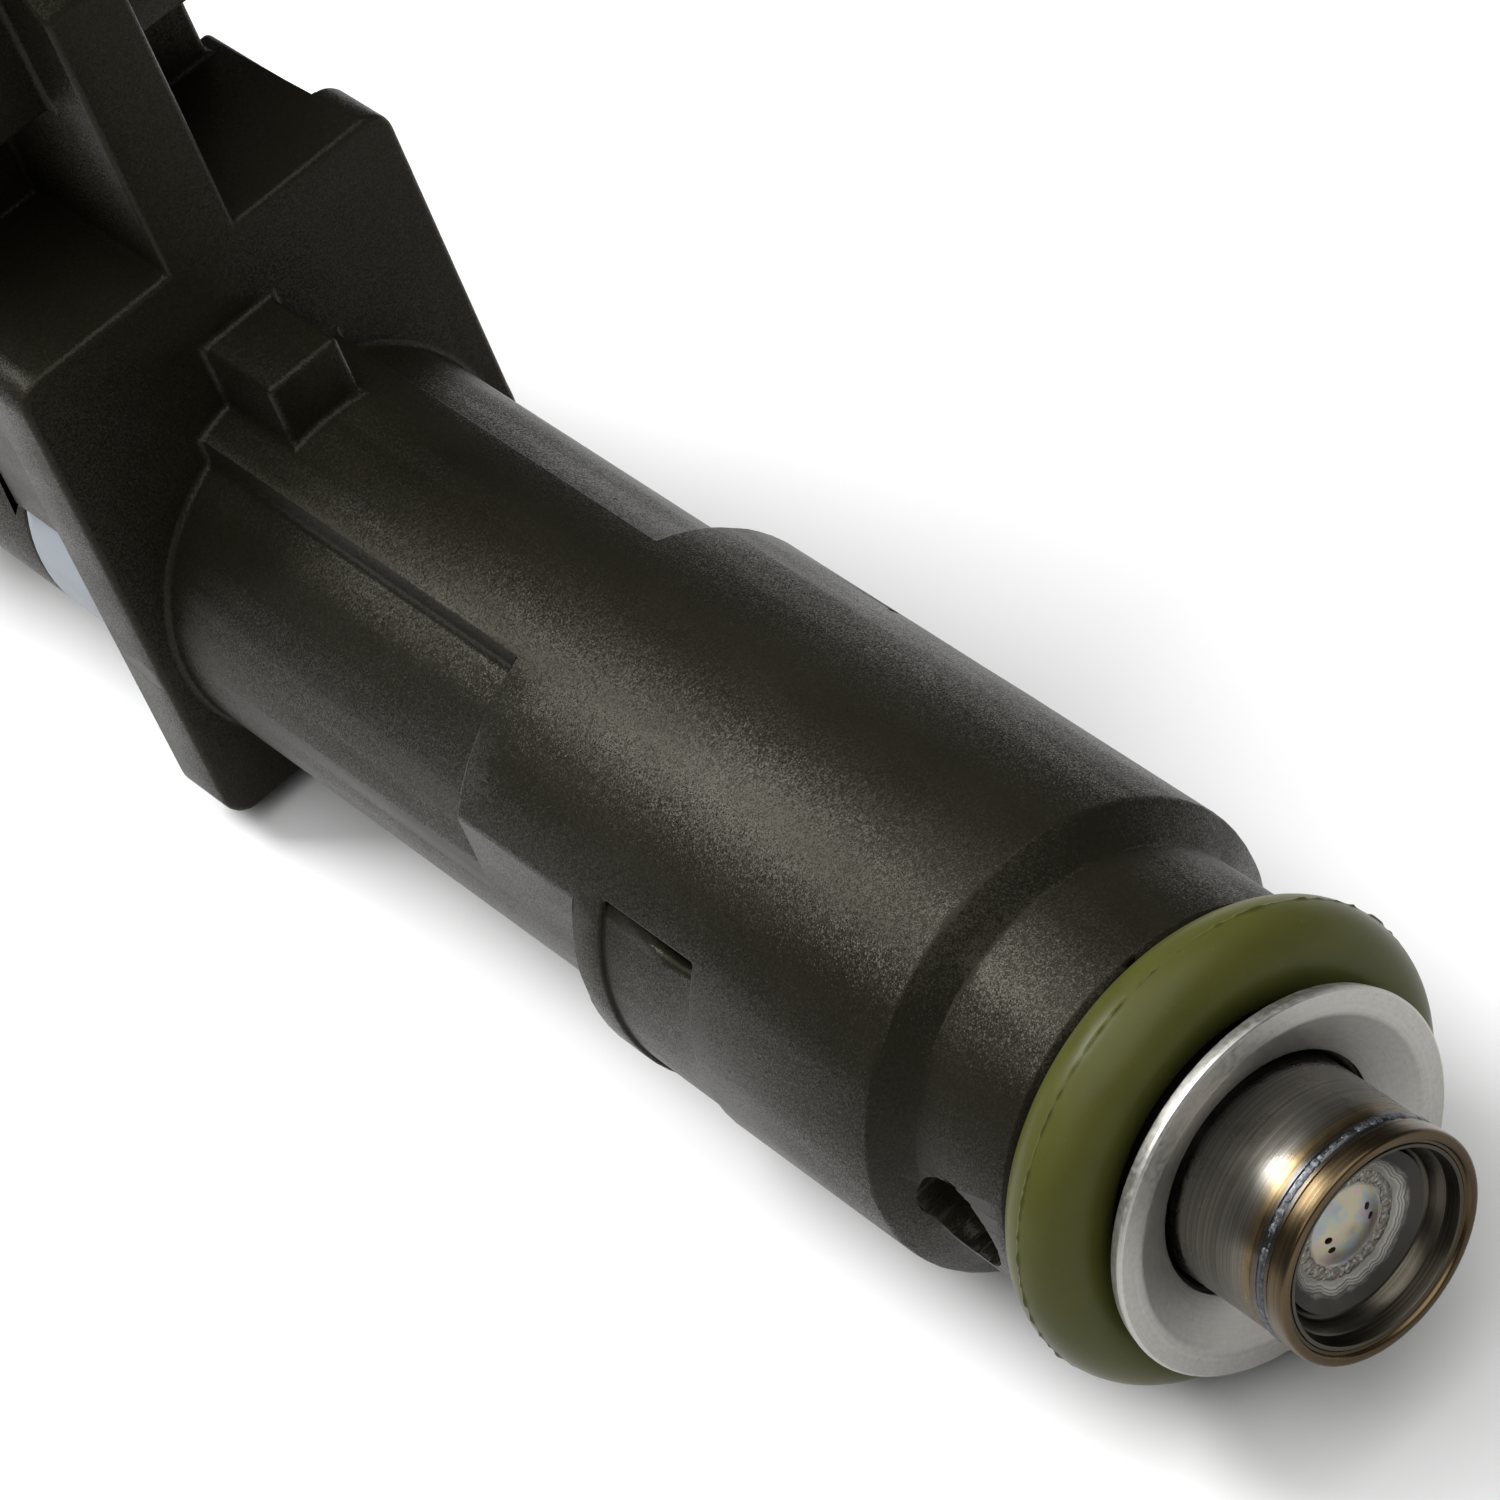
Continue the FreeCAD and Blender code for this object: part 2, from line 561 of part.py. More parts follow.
def relief(body, name, half_width, front, back):
    """Cuts the barrel down to the upper radius, except for a strip of that half width above the axis."""
    sketch = new_sketch(body, name + "_outline", "XZ_Plane", "0 - " + front)
    inner, outer = value("Dims.upper_radius"), value("Dims.barrel_radius") + 1
    reach = value(half_width)
    inner_end = math.acos(reach / inner)
    outer_end = math.acos(reach / outer)
    circles = [(inner, inner_end), (outer, outer_end)]
    for radius, end in circles:
        circle = Part.Circle(FreeCAD.Vector(0, 0, 0), FreeCAD.Vector(0, 0, 1), radius)
        sketch.addGeometry(Part.ArcOfCircle(circle, math.pi - end, 2 * math.pi + end), False)
    for side in (-1, 1):
        low = FreeCAD.Vector(side * reach, inner * math.sin(inner_end), 0)
        high = FreeCAD.Vector(side * reach, outer * math.sin(outer_end), 0)
        sketch.addGeometry(Part.LineSegment(low, high), False)
    for arc in (0, 1):
        sketch.addConstraint(Sketcher.Constraint("Coincident", arc, 3, -1, 1))
    for line, end in ((2, 1), (3, 2)):
        sketch.addConstraint(Sketcher.Constraint("Coincident", 0, end, line, 1))
        sketch.addConstraint(Sketcher.Constraint("Coincident", 1, end, line, 2))
    bind(sketch, "Radius", (0,), "Dims.upper_radius")
    bind(sketch, "Radius", (1,), "Dims.barrel_radius + 1")
    pocket = body.newObject("PartDesign::Pocket", name)
    pocket.Profile = sketch
    pocket.setExpression("Length", back + " - " + front)
    return pocket


def make_housing(terminals):
    body = new_body("housing_moulding")
    gap = "Dims.tube_radius + Dims.fit_gap"
    outside = [
        ("1", "Dims.nose_front"),
        ("Dims.nose_radius", "Dims.nose_front"),
        ("Dims.nose_radius", "Dims.neck_front"),
        ("Dims.neck_radius - 0.2", "Dims.neck_front"),
        ("Dims.neck_radius", "Dims.neck_front + 0.2"),
        ("Dims.neck_radius", "Dims.neck_end"),
        ("Dims.barrel_radius", "Dims.barrel_front"),
        ("Dims.barrel_radius", "Dims.panel_front"),
        ("Dims.barrel_radius - Dims.barrel_draft", "Dims.barrel_end"),
        ("Dims.barrel_radius - Dims.barrel_draft", "Dims.flange_front + 1"),
        ("Dims.collar_bore - Dims.collar_gap", "Dims.flange_front + 1"),
        ("Dims.collar_bore - Dims.collar_gap", "Dims.collar_end"),
        ("Dims.head_radius", "Dims.collar_end"),
        ("Dims.head_radius", "Dims.inlet_step - 0.3"),
        ("Dims.head_radius - 0.3", "Dims.inlet_step"),
        ("1", "Dims.inlet_step"),
    ]
    turn(body, "moulded_outside", outside)
    relief(body, "upper_relief", "Dims.key_half_width", "Dims.barrel_end", "Dims.flange_front")
    relief(body, "underside_relief", "Dims.upper_radius", "Dims.relief_front", "Dims.barrel_end")
    floor = "0 - Dims.barrel_radius + Dims.panel_depth"
    outside = "0 - Dims.barrel_radius - 1"
    panel = [
        (floor, "Dims.panel_front"),
        (outside, "Dims.panel_front"),
        (outside, "Dims.panel_end"),
        (floor + " + Dims.barrel_draft / 2", "Dims.panel_end"),
    ]
    groove = turn(body, "moulded_panel", panel, "Groove")
    groove.setExpression("Angle", "Dims.panel_angle")
    groove.Midplane = True

    window = new_sketch(body, "window_outline", "YZ_Plane")
    middle = FreeCAD.Vector(value("Dims.window_station"), 0, 0)
    circle = Part.Circle(middle, FreeCAD.Vector(0, 0, 1), value("Dims.window_radius"))
    window.addGeometry(circle, False)
    pin_point(window, 0, 3, "Dims.window_station", "0")
    bind(window, "Radius", (0,), "Dims.window_radius")

    outline = box_outline("Dims.flange_front", "Dims.flange_back", "0 - Dims.flange_bottom",
                          "Dims.flange_top")
    plate = slab(body, "flange", outline, "2 * Dims.flange_half_width")
    doc.recompute()
    half = value("Dims.flange_half_width")
    ends = (value("Dims.flange_top"), -value("Dims.flange_bottom"))
    corners = edges_where(
        plate, lambda p: abs(abs(p.x) - half) < 1e-4 and min(abs(p.z - end) for end in ends) < 1e-4)
    upright = [name for name in corners if is_along(plate.Shape.getElement(name), "y")]
    round_edges(body, "flange_corners", plate, upright, "Dims.flange_corner")
    slab(body, "locating_lug", box_outline("Dims.flange_front - Dims.lug_length", "Dims.flange_front + 1",
                                           "Dims.lug_low", "Dims.lug_high"), "2 * Dims.lug_half_width")
    slab(body, "connector_block", box_outline("Dims.flange_back - 1", "Dims.collar_end", "Dims.block_low",
                                              "Dims.flange_top"), "2 * Dims.block_half_width")
    slab(body, "connector_neck", box_outline("Dims.collar_end - 1", "Dims.conn_neck_end", "Dims.neck_low",
                                             "Dims.shroud_low + 1"), "2 * Dims.conn_neck_half_width")
    outline = box_outline("Dims.shroud_front", "Dims.shroud_back", "Dims.shroud_low", "Dims.shroud_top")
    shroud = slab(body, "connector_shroud", outline, "2 * Dims.shroud_half_width")
    doc.recompute()
    wide = value("Dims.shroud_half_width")
    sides = (value("Dims.shroud_front"), value("Dims.shroud_back"))
    corners = edges_where(
        shroud, lambda p: abs(abs(p.x) - wide) < 1e-4 and min(abs(p.y - side) for side in sides) < 1e-4)
    upright = [name for name in corners if is_along(shroud.Shape.getElement(name), "z")]
    rounded = round_edges(body, "shroud_corners", shroud, upright, "Dims.shroud_corner")

    outline = box_outline("Dims.shroud_front + Dims.shroud_wall", "Dims.shroud_back - Dims.shroud_wall",
                          "Dims.shroud_low + Dims.shroud_wall", "Dims.shroud_top + 1")
    socket = slab(body, "plug_socket", outline, "2 * (Dims.shroud_half_width - Dims.shroud_wall)", "Pocket")
    doc.recompute()
    wide = value("Dims.shroud_half_width - Dims.shroud_wall")
    sides = (value("Dims.shroud_front + Dims.shroud_wall"), value("Dims.shroud_back - Dims.shroud_wall"))
    corners = edges_where(
        socket, lambda p: abs(abs(p.x) - wide) < 1e-4 and min(abs(p.y - side) for side in sides) < 1e-4)
    upright = [name for name in corners if is_along(socket.Shape.getElement(name), "z")]
    round_edges(body, "socket_corners", socket, upright, "Dims.socket_corner")

    web = [
        ("Dims.flange_front", "Dims.flange_top - 0.5"),
        ("Dims.flange_front", "Dims.rib_top"),
        ("Dims.shroud_front + 0.2", "Dims.rib_top + Dims.web_chamfer"),
        ("Dims.shroud_front + 0.7", "Dims.rib_top + Dims.web_chamfer"),
        ("Dims.shroud_front + 0.7", "Dims.shroud_low + 0.5"),
        ("Dims.collar_end + 0.5", "Dims.shroud_low + 0.5"),
        ("Dims.collar_end + 0.5", "Dims.flange_top - 0.5"),
    ]
    slab(body, "connector_web", web, "2 * Dims.rib_half_width")
    ramp = [
        ("Dims.shroud_back - 0.5", "Dims.latch_low"),
        ("Dims.shroud_back + Dims.latch_height", "Dims.latch_low"),
        ("Dims.shroud_back + Dims.latch_height", "Dims.latch_low + 0.6"),
        ("Dims.shroud_back", "Dims.latch_top"),
        ("Dims.shroud_back - 0.5", "Dims.latch_top"),
    ]
    slab(body, "latch_ramp", ramp, "2 * Dims.latch_half_width")
    for number, offset in enumerate(("-4.6", "3.6")):
        rib = new_sketch(body, "key_rib_%d_outline" % number, "YZ_Plane", offset)
        polygon(rib, box_outline("Dims.shroud_front - Dims.key_rib_height", "Dims.shroud_front + 0.5",
                                 "Dims.shroud_low + 2", "Dims.shroud_top - 0.6"))
        pad = body.newObject("PartDesign::Pad", "key_rib_%d" % number)
        pad.Profile = rib
        pad.setExpression("Length", "Dims.key_rib_width")

    cut = body.newObject("PartDesign::Pocket", "neck_windows")
    cut.Profile = window
    cut.setExpression("Length", "2 * Dims.barrel_radius + 2")
    cut.Midplane = True
    inside = [
        ("0", "Dims.nose_front - 1"),
        (gap, "Dims.nose_front - 1"),
        (gap, "Dims.can_front"),
        ("Dims.can_nose_radius", "Dims.can_front"),
        ("Dims.can_nose_radius", "Dims.can_step"),
        ("Dims.can_radius", "Dims.can_step"),
        ("Dims.can_radius", "Dims.can_end"),
        (gap, "Dims.can_end"),
        (gap, "Dims.inlet_step + 1"),
        ("0", "Dims.inlet_step + 1"),
    ]
    turn(body, "moulded_inside", inside, "Groove")
    doc.recompute()
    tools = doc.addObject("Part::Compound", "terminal_pair")
    tools.Links = terminals
    housing = doc.addObject("Part::Cut", "overmoulded_housing")
    housing.Base = body
    housing.Tool = tools
    keep(housing, "overmoulded_housing")


def is_along(edge, axis):
    """True where a straight edge runs along the named axis."""
    first, last = edge.Vertexes[0].Point, edge.Vertexes[-1].Point
    step = last - first
    return abs(abs(getattr(step, axis)) - step.Length) < 1e-6


# ---- seals, collars and filter --------------------------------------------------------------------------

def make_half_collar():
    front = "Dims.flange_back"
    body = plain_tube("half_collar", "Dims.collar_bore", "Dims.collar_radius", front + " + Dims.collar_gap",
                      "Dims.collar_end - Dims.collar_gap")
    mouth = box_outline(front + " - 1", "Dims.collar_end + 1", "Dims.block_low - Dims.collar_gap",
                        "Dims.collar_radius + 1")
    slab(body, "collar_mouth", mouth, "2 * Dims.collar_radius + 2", "Pocket")
    keep(body, "half_collar")


def make_ring(name, radius, section, station):
    """An O-ring round the injector's axis."""
    ring = doc.addObject("Part::Torus", name)
    ring.setExpression("Radius1", radius)
    ring.setExpression("Radius2", section)
    upright_to_axis = FreeCAD.Rotation(FreeCAD.Vector(1, 0, 0), -90)
    ring.Placement = FreeCAD.Placement(FreeCAD.Vector(0, 0, 0), upright_to_axis)
    ring.setExpression(".Placement.Base.y", station + " - Dims.seal_station")
    keep(ring, name)


def make_seal_retainer():
    back = "Dims.retainer_front + Dims.retainer_thickness"
    slope = "(Dims.retainer_flat_radius - Dims.retainer_bore)"
    outline = [
        ("Dims.retainer_flat_radius", "Dims.retainer_front"),
        ("Dims.retainer_radius - 0.08", "Dims.retainer_front"),
        ("Dims.retainer_radius", "Dims.retainer_front + 0.08"),
        ("Dims.retainer_radius", back + " - 0.05"),
        ("Dims.retainer_radius - 0.05", back),
        ("Dims.retainer_flat_radius - 0.3", back),
        ("Dims.retainer_bore", back + " + Dims.retainer_dish"),
        ("Dims.retainer_bore", "Dims.retainer_front + 0.5"),
        ("Dims.retainer_bore + 0.22 * " + slope, "Dims.retainer_front + 0.26"),
        ("Dims.retainer_bore + 0.6 * " + slope, "Dims.retainer_front + 0.07"),
    ]
    keep(turned("seal_retainer", outline), "seal_retainer")


def make_backing_ring():
    front = "Dims.inlet_step + 0.05"
    back = front + " + Dims.backing_length"
    outline = [
        ("Dims.inlet_seal_radius + Dims.fit_gap", front),
        ("Dims.backing_radius", front),
        ("Dims.backing_radius", back + " - 0.3"),
        ("Dims.backing_radius - 0.3", back),
        ("Dims.inlet_seal_radius + Dims.fit_gap", back),
    ]
    keep(turned("backing_ring", outline), "backing_ring")


def make_filter():
    collar_back = "Dims.inlet_end - 0.6"
    collar_front = collar_back + " - Dims.filter_collar_length"
    keep(plain_tube("filter_collar", "Dims.filter_radius", "Dims.tube_bore", collar_front, collar_back),
         "filter_collar")
    frame_front = collar_front + " - Dims.filter_length"
    inner = "Dims.filter_radius - Dims.filter_wall"
    outline = [
        ("0", frame_front),
        (inner, frame_front),
        ("Dims.filter_radius", frame_front + " + Dims.filter_wall"),
        ("Dims.filter_radius", collar_back),
        (inner, collar_back),
        (inner, frame_front + " + Dims.filter_wall * 2"),
        ("0", frame_front + " + Dims.filter_wall * 2"),
    ]
    frame = new_body("filter_frame")
    turn(frame, "frame_turned", outline)
    for number, plane in enumerate(("YZ_Plane", "XY_Plane")):
        opening = new_sketch(frame, "frame_window_%d_outline" % number, plane)
        stations = (frame_front + " + Dims.filter_wall * 3", collar_front + " - Dims.filter_wall")
        half = "Dims.filter_window"
        if plane == "YZ_Plane":
            corners = box_outline(stations[0], stations[1], "0 - " + half, half)
        else:
            corners = [("0 - " + half, stations[0]), (half, stations[0])]
            corners += [(half, stations[1]), ("0 - " + half, stations[1])]
        polygon(opening, corners)
        cut = frame.newObject("PartDesign::Pocket", "frame_window_%d" % number)
        cut.Profile = opening
        cut.setExpression("Length", "2 * Dims.filter_radius + 1")
        cut.Midplane = True
    keep(frame, "filter_frame")
    mesh_front = frame_front + " + Dims.filter_wall * 2"
    keep(plain_tube("filter_mesh", inner + " - Dims.mesh_thickness", inner, mesh_front, collar_front),
         "filter_mesh")


make_valve_tube()
keep(plain_tube("non_magnetic_sleeve", "Dims.tube_bore", "Dims.tube_radius", "Dims.valve_tube_end",
                "Dims.sleeve_end"), "non_magnetic_sleeve")
make_inlet_tube()
make_valve_seat()
make_orifice_disc()
make_valve_ball()
make_ball_guide()
make_armature()
make_pole_and_spring()
make_coil_group()
make_housing(make_terminals())
make_half_collar()
make_ring("lower_o_ring", "Dims.lower_ring_radius", "Dims.lower_ring_section", "Dims.seal_station")
make_ring("upper_o_ring", "Dims.upper_ring_radius", "Dims.upper_ring_section",
          "Dims.seal_station + Dims.seal_pitch")
make_seal_retainer()
make_backing_ring()
make_filter()
doc.recompute()

for item in doc.Objects:
    faults = [state for state in item.State if state in ("Invalid", "Error")]
    if faults:
        raise RuntimeError("%s is %s" % (item.Label, faults))

os.makedirs("parts", exist_ok=True)
for item in parts:
    shape = item.Shape
    if shape.isNull() or not shape.isValid() or not shape.Solids:
        raise RuntimeError("%s has no valid solid" % item.Label)
    shape.exportStep("parts/%s.step" % item.Label)
    box = shape.BoundBox
    print("%-22s %9.2f mm3  x %6.2f %6.2f  y %6.2f %6.2f  z %6.2f %6.2f"
          % (item.Label, shape.Volume, box.XMin, box.XMax, box.YMin, box.YMax, box.ZMin, box.ZMax))
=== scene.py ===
import math

import bmesh
import bpy
from bpy.props import FloatProperty, FloatVectorProperty, IntProperty, PointerProperty
from mathutils import Euler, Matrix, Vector, noise


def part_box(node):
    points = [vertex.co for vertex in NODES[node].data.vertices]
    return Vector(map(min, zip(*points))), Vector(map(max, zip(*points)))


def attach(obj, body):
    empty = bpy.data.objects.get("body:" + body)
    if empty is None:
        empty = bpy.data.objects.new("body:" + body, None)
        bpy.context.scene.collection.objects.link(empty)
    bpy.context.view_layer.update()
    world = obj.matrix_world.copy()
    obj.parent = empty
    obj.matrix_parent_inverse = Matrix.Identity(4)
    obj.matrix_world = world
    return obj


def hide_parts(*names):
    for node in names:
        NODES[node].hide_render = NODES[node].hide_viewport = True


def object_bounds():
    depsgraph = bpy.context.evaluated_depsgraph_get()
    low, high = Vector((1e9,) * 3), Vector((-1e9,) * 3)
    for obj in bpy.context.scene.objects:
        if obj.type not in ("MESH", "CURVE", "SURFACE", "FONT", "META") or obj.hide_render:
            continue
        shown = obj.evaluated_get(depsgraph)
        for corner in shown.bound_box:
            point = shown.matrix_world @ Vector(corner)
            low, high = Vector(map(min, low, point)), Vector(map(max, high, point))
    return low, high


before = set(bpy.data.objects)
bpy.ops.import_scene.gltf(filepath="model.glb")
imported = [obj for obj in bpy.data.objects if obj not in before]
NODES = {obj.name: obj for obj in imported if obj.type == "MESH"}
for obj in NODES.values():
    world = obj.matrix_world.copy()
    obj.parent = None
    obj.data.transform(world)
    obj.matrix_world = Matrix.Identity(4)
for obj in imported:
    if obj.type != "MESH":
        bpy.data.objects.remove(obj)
CAD_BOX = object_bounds()
MM = 0.001

# The injector lies along Y, and stations along it are measured from the end of its tip.
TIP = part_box("valve_tube")[0].y

bl_info = {
    "name": "Fuel injector looks",
    "version": (1, 0, 0),
    "blender": (4, 5, 0),
    "location": "3D View > Sidebar > Injector",
    "description": "Builds the finished surfaces of a fuel injector round its packed frame",
    "category": "Object",
}


# ---- sizes, colours and lights that a user would change --------------------------------------------------

def length(name, description, default):
    """A size in metres."""
    return FloatProperty(name=name, description=description, default=default, min=0.0, precision=5,
                         unit="LENGTH")


def colour(name, description, default):
    """A linear colour."""
    return FloatVectorProperty(name=name, description=description, default=default, size=3, subtype="COLOR",
                               min=0.0, max=1.0)


def power(name, description, default):
    """The power of a light in watts."""
    return FloatProperty(name=name, description=description, default=default, min=0.0, unit="POWER")


class InjectorShape(bpy.types.PropertyGroup):
    """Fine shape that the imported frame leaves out."""

    edge_softness: length("Edge softness", "Rounding on the moulded housing's edges", 0.00022)
    corner_softness: length("Corner softness", "Rounding on the metal and small plastic pieces", 0.00008)
    flash_height: length("Flash height", "Moulding line round each seal", 0.00007)
    ripple_length: length("Ripple length", "Size of a weld ripple along the bead", 0.00022)
    ripple_height: length("Ripple height", "How far a weld ripple stands up", 0.00006)
    ripple_width: length("Ripple width", "Size of a weld ripple across the bead", 0.00013)
    ripples: IntProperty(name="Ripples", description="Weld ripples round the tube", default=96, min=8)
    turns: IntProperty(name="Turns", description="Visible turns of copper wire", default=42, min=4)


class InjectorFinish(bpy.types.PropertyGroup):
    """Colours of the injector's materials."""

    plastic: colour("Housing plastic", "Glass-filled moulding", (0.0060, 0.0054, 0.0032))
    # The fleck colour is pale fibre, lightened further to paint the skin's glints.
    fleck_and_glint: colour("Housing fleck", "Fibres near the moulding's skin", (0.032, 0.029, 0.020))
    collar: colour("Collar plastic", "Pale ring behind the flange", (0.19, 0.215, 0.245))
    rubber: colour("Seal rubber", "Olive seal rubber", (0.050, 0.052, 0.0115))
    stainless: colour("Stainless", "Seal retainer and tube", (0.38, 0.37, 0.345))
    bronze_tint: colour("Bronze tint", "Heat colour nearest the weld", (0.36, 0.265, 0.155))
    straw_tint: colour("Straw tint", "Heat colour at the tint's edge", (0.88, 0.66, 0.36))
    blue_tint: colour("Blue tint", "Heat colour on the weld", (0.30, 0.32, 0.36))
    # The recess steel is darkened well below the other steels: painted shade inside the tip's recess.
    shaded_recess: colour("Recess steel", "Steel inside the tip", (0.07, 0.062, 0.048))


class InjectorStage(bpy.types.PropertyGroup):
    """Floor, lights and camera."""

    top_power: power("Top light", "Wide soft light overhead", 11.0)
    key_power: power("Key light", "Soft light behind and above the barrel", 3.3)
    room_light: FloatProperty(name="Room light", description="Even light from all round", default=0.12,
                              min=0.0)
    lens: FloatProperty(name="Lens", description="Focal length in millimetres", default=164.1, min=1.0)
    camera_place: FloatVectorProperty(name="Camera place", description="Camera position", size=3,
                                      default=(-0.05623, -0.10876, 0.13764), subtype="TRANSLATION",
                                      unit="LENGTH")
    camera_turn: FloatVectorProperty(name="Camera turn", description="Camera rotation", size=3,
                                     default=tuple(math.radians(a) for a in (44.161, 16.900, -40.422)),
                                     subtype="EULER", unit="ROTATION")


# ---- materials -------------------------------------------------------------------------------------------

# The Mix node's colour sockets share their names with its number sockets, so they are taken by their places.
FIRST_COLOUR = 6
SECOND_COLOUR = 7
MIXED_COLOUR = 2


def finish(name, base, roughness, metallic=0.0, **sockets):
    """A material whose even values sit on the shader's own sockets."""
    material = bpy.data.materials.new(name)
    material.use_nodes = True
    shader = material.node_tree.nodes["Principled BSDF"]
    shader.inputs["Base Color"].default_value = (*base, 1.0)
    shader.inputs["Roughness"].default_value = roughness
    shader.inputs["Metallic"].default_value = metallic
    for socket, setting in sockets.items():
        shader.inputs[socket.replace("_", " ")].default_value = setting
    material.diffuse_color = (*base, 1.0)
    return material


def toned(base, share):
    """A colour made darker or brighter."""
    return tuple(part * share for part in base)


def plug(material, socket, source):
    """Links a socket to its source, or sets it to a plain value."""
    if isinstance(source, bpy.types.NodeSocket):
        material.node_tree.links.new(source, socket)
    else:
        socket.default_value = source


def add(material, kind, inputs=None, **settings):
    """A shader node with its inputs plugged; returns the node."""
    node = material.node_tree.nodes.new("ShaderNode" + kind)
    for key, setting in settings.items():
        setattr(node, key, setting)
    for key, source in (inputs or {}).items():
        plug(material, node.inputs[key], source)
    return node


def maths(material, operation, first, second=0.0, third=0.0):
    """The result of one sum on numbers."""
    return add(material, "Math", {0: first, 1: second, 2: third}, operation=operation).outputs[0]


def vector_maths(material, operation, first, second=(0.0, 0.0, 0.0), result="Vector"):
    """The result of one sum on vectors."""
    return add(material, "VectorMath", {0: first, 1: second}, operation=operation).outputs[result]


def place(material):
    """Where the shaded point is, in metres."""
    return add(material, "TexCoord").outputs["Object"]


def stretched(material, across, along):
    """The point's place with its X and Z scaled by across and its Y by along."""
    return vector_maths(material, "MULTIPLY", place(material), (across, along, across))


def radius_of(material):
    """Distance of the shaded point from the injector's axis."""
    return vector_maths(material, "LENGTH", stretched(material, 1.0, 0.0), result="Value")


def direction_of(material, scale):
    """Direction of the shaded point from the axis, scaled, for patterns that run along the radius."""
    unit = vector_maths(material, "NORMALIZE", stretched(material, 1.0, 0.0))
    return vector_maths(material, "MULTIPLY", unit, (scale, scale, scale))


def cloud(material, scale, detail=3.0, vector=None):
    """Smooth random pattern between 0 and 1."""
    source = place(material) if vector is None else vector
    inputs = {"Vector": source, "Scale": scale, "Detail": detail, "Roughness": 0.55}
    return add(material, "TexNoise", inputs).outputs[0]


def spread(material, source, low, high, to_low=0.0, to_high=1.0):
    """Maps a range of the source onto another range, held at both ends."""
    inputs = {"Value": source, "From Min": low, "From Max": high, "To Min": to_low, "To Max": to_high}
    return add(material, "MapRange", inputs, clamp=True).outputs["Result"]


def uneven(material, pattern, low, high):
    """A value that follows a cloud's usual range."""
    return spread(material, pattern, 0.3, 0.7, low, high)


def blend_colour(material, factor, first, second, mode="MIX"):
    """Mixes two colours by a factor."""
    node = add(material, "Mix", data_type="RGBA", blend_type=mode)
    plug(material, node.inputs["Factor"], factor)
    for number, source in ((FIRST_COLOUR, first), (SECOND_COLOUR, second)):
        linked = isinstance(source, bpy.types.NodeSocket)
        plug(material, node.inputs[number], source if linked else (*source, 1.0))
    return node.outputs[MIXED_COLOUR]


def mottled(material, pattern, first, second, low=0.3, high=0.7):
    """Two colours that follow a pattern, with the change between low and high."""
    return blend_colour(material, spread(material, pattern, low, high), first, second)


def overlaid(material, pattern, share, under, over):
    """A colour laid thinly over another where the pattern is."""
    return blend_colour(material, maths(material, "MULTIPLY", pattern, share), under, over)


def ramp(material, source, stops):
    """Colour by position along a list of (position, colour)."""
    node = add(material, "ValToRGB", {0: source})
    marks = node.color_ramp.elements
    while len(marks) < len(stops):
        marks.new(0.5)
    for mark, (position, tone) in zip(marks, stops):
        mark.position = position
        mark.color = (*tone, 1.0)
    return node.outputs["Color"]


def surface(material, tone, roughness, height, strength, distance, facing=None):
    """Sends colour, roughness and height to the shader; facing is the normal that the height is laid on."""
    shader = material.node_tree.nodes["Principled BSDF"]
    plug(material, shader.inputs["Base Color"], tone)
    if roughness is not None:
        plug(material, shader.inputs["Roughness"], roughness)
    bump = add(material, "Bump", {"Height": height, "Strength": strength, "Distance": distance})
    if facing is not None:
        plug(material, bump.inputs["Normal"], facing)
    plug(material, shader.inputs["Normal"], bump.outputs["Normal"])


def glinting_normal(material, scale, lean):
    """The surface's normal, turned a little at random in every tiny cell, so that the skin glints."""
    cells = add(material, "TexVoronoi", {"Vector": place(material), "Scale": scale}).outputs["Color"]
    centred = vector_maths(material, "SUBTRACT", cells, (0.5, 0.5, 0.5))
    leaning = vector_maths(material, "MULTIPLY", centred, (lean, lean, lean))
    facing = add(material, "NewGeometry").outputs["Normal"]
    return vector_maths(material, "NORMALIZE", vector_maths(material, "ADD", facing, leaning))


def grained_plastic(name, base, fleck_and_glint, gloss):
    """Spark-eroded grain on a glass-filled moulding, with pale fibre flecks that are partly painted glints,
    and handling marks.
    """
    material = finish(name, base, gloss, Specular_IOR_Level=0.125, Specular_Tint=(1.0, 0.93, 0.76, 1.0))
    grain = cloud(material, 20000.0, 2.0)
    # Tiny pale specks: partly fibre colour, partly painted glints.
    fleck_and_glint_specks = spread(material, cloud(material, 26000.0, 1.0), 0.66, 0.74)
    marks = cloud(material, 1.0, 5.0, stretched(material, 700.0, 180.0))
    tone = mottled(material, cloud(material, 260.0, 4.0), base, toned(base, 1.3))
    tone = overlaid(material, fleck_and_glint_specks, 0.4, tone, fleck_and_glint)
    rough = spread(material, marks, 0.35, 0.7, gloss - 0.03, gloss + 0.06)
    glints = glinting_normal(material, 25000.0, 0.3)
    surface(material, tone, rough, grain, strength=0.25, distance=0.00001, facing=glints)
    return material


def plain_plastic(name, base, gloss):
    """Smooth moulded plastic with faint flow marks."""
    material = finish(name, base, gloss)
    flow = cloud(material, 900.0, 4.0)
    skin = cloud(material, 4200.0, 2.0)
    tone = mottled(material, flow, toned(base, 0.88), base)
    rough = uneven(material, flow, gloss - 0.05, gloss + 0.06)
    surface(material, tone, rough, skin, strength=0.3, distance=0.00001)
    return material


def seal_rubber(name, base):
    """Satin seal rubber, a little cloudy, with fine dust."""
    material = finish(name, base, 0.38, Specular_IOR_Level=0.1)
    haze = cloud(material, 420.0, 5.0)
    dust = spread(material, cloud(material, 7000.0, 2.0), 0.68, 0.78)
    skin = cloud(material, 3600.0, 3.0)
    tone = mottled(material, haze, toned(base, 0.82), base)
    tone = overlaid(material, dust, 0.3, tone, toned(base, 1.9))
    surface(material, tone, uneven(material, haze, 0.3, 0.42), skin, strength=0.3, distance=0.00001)
    return material


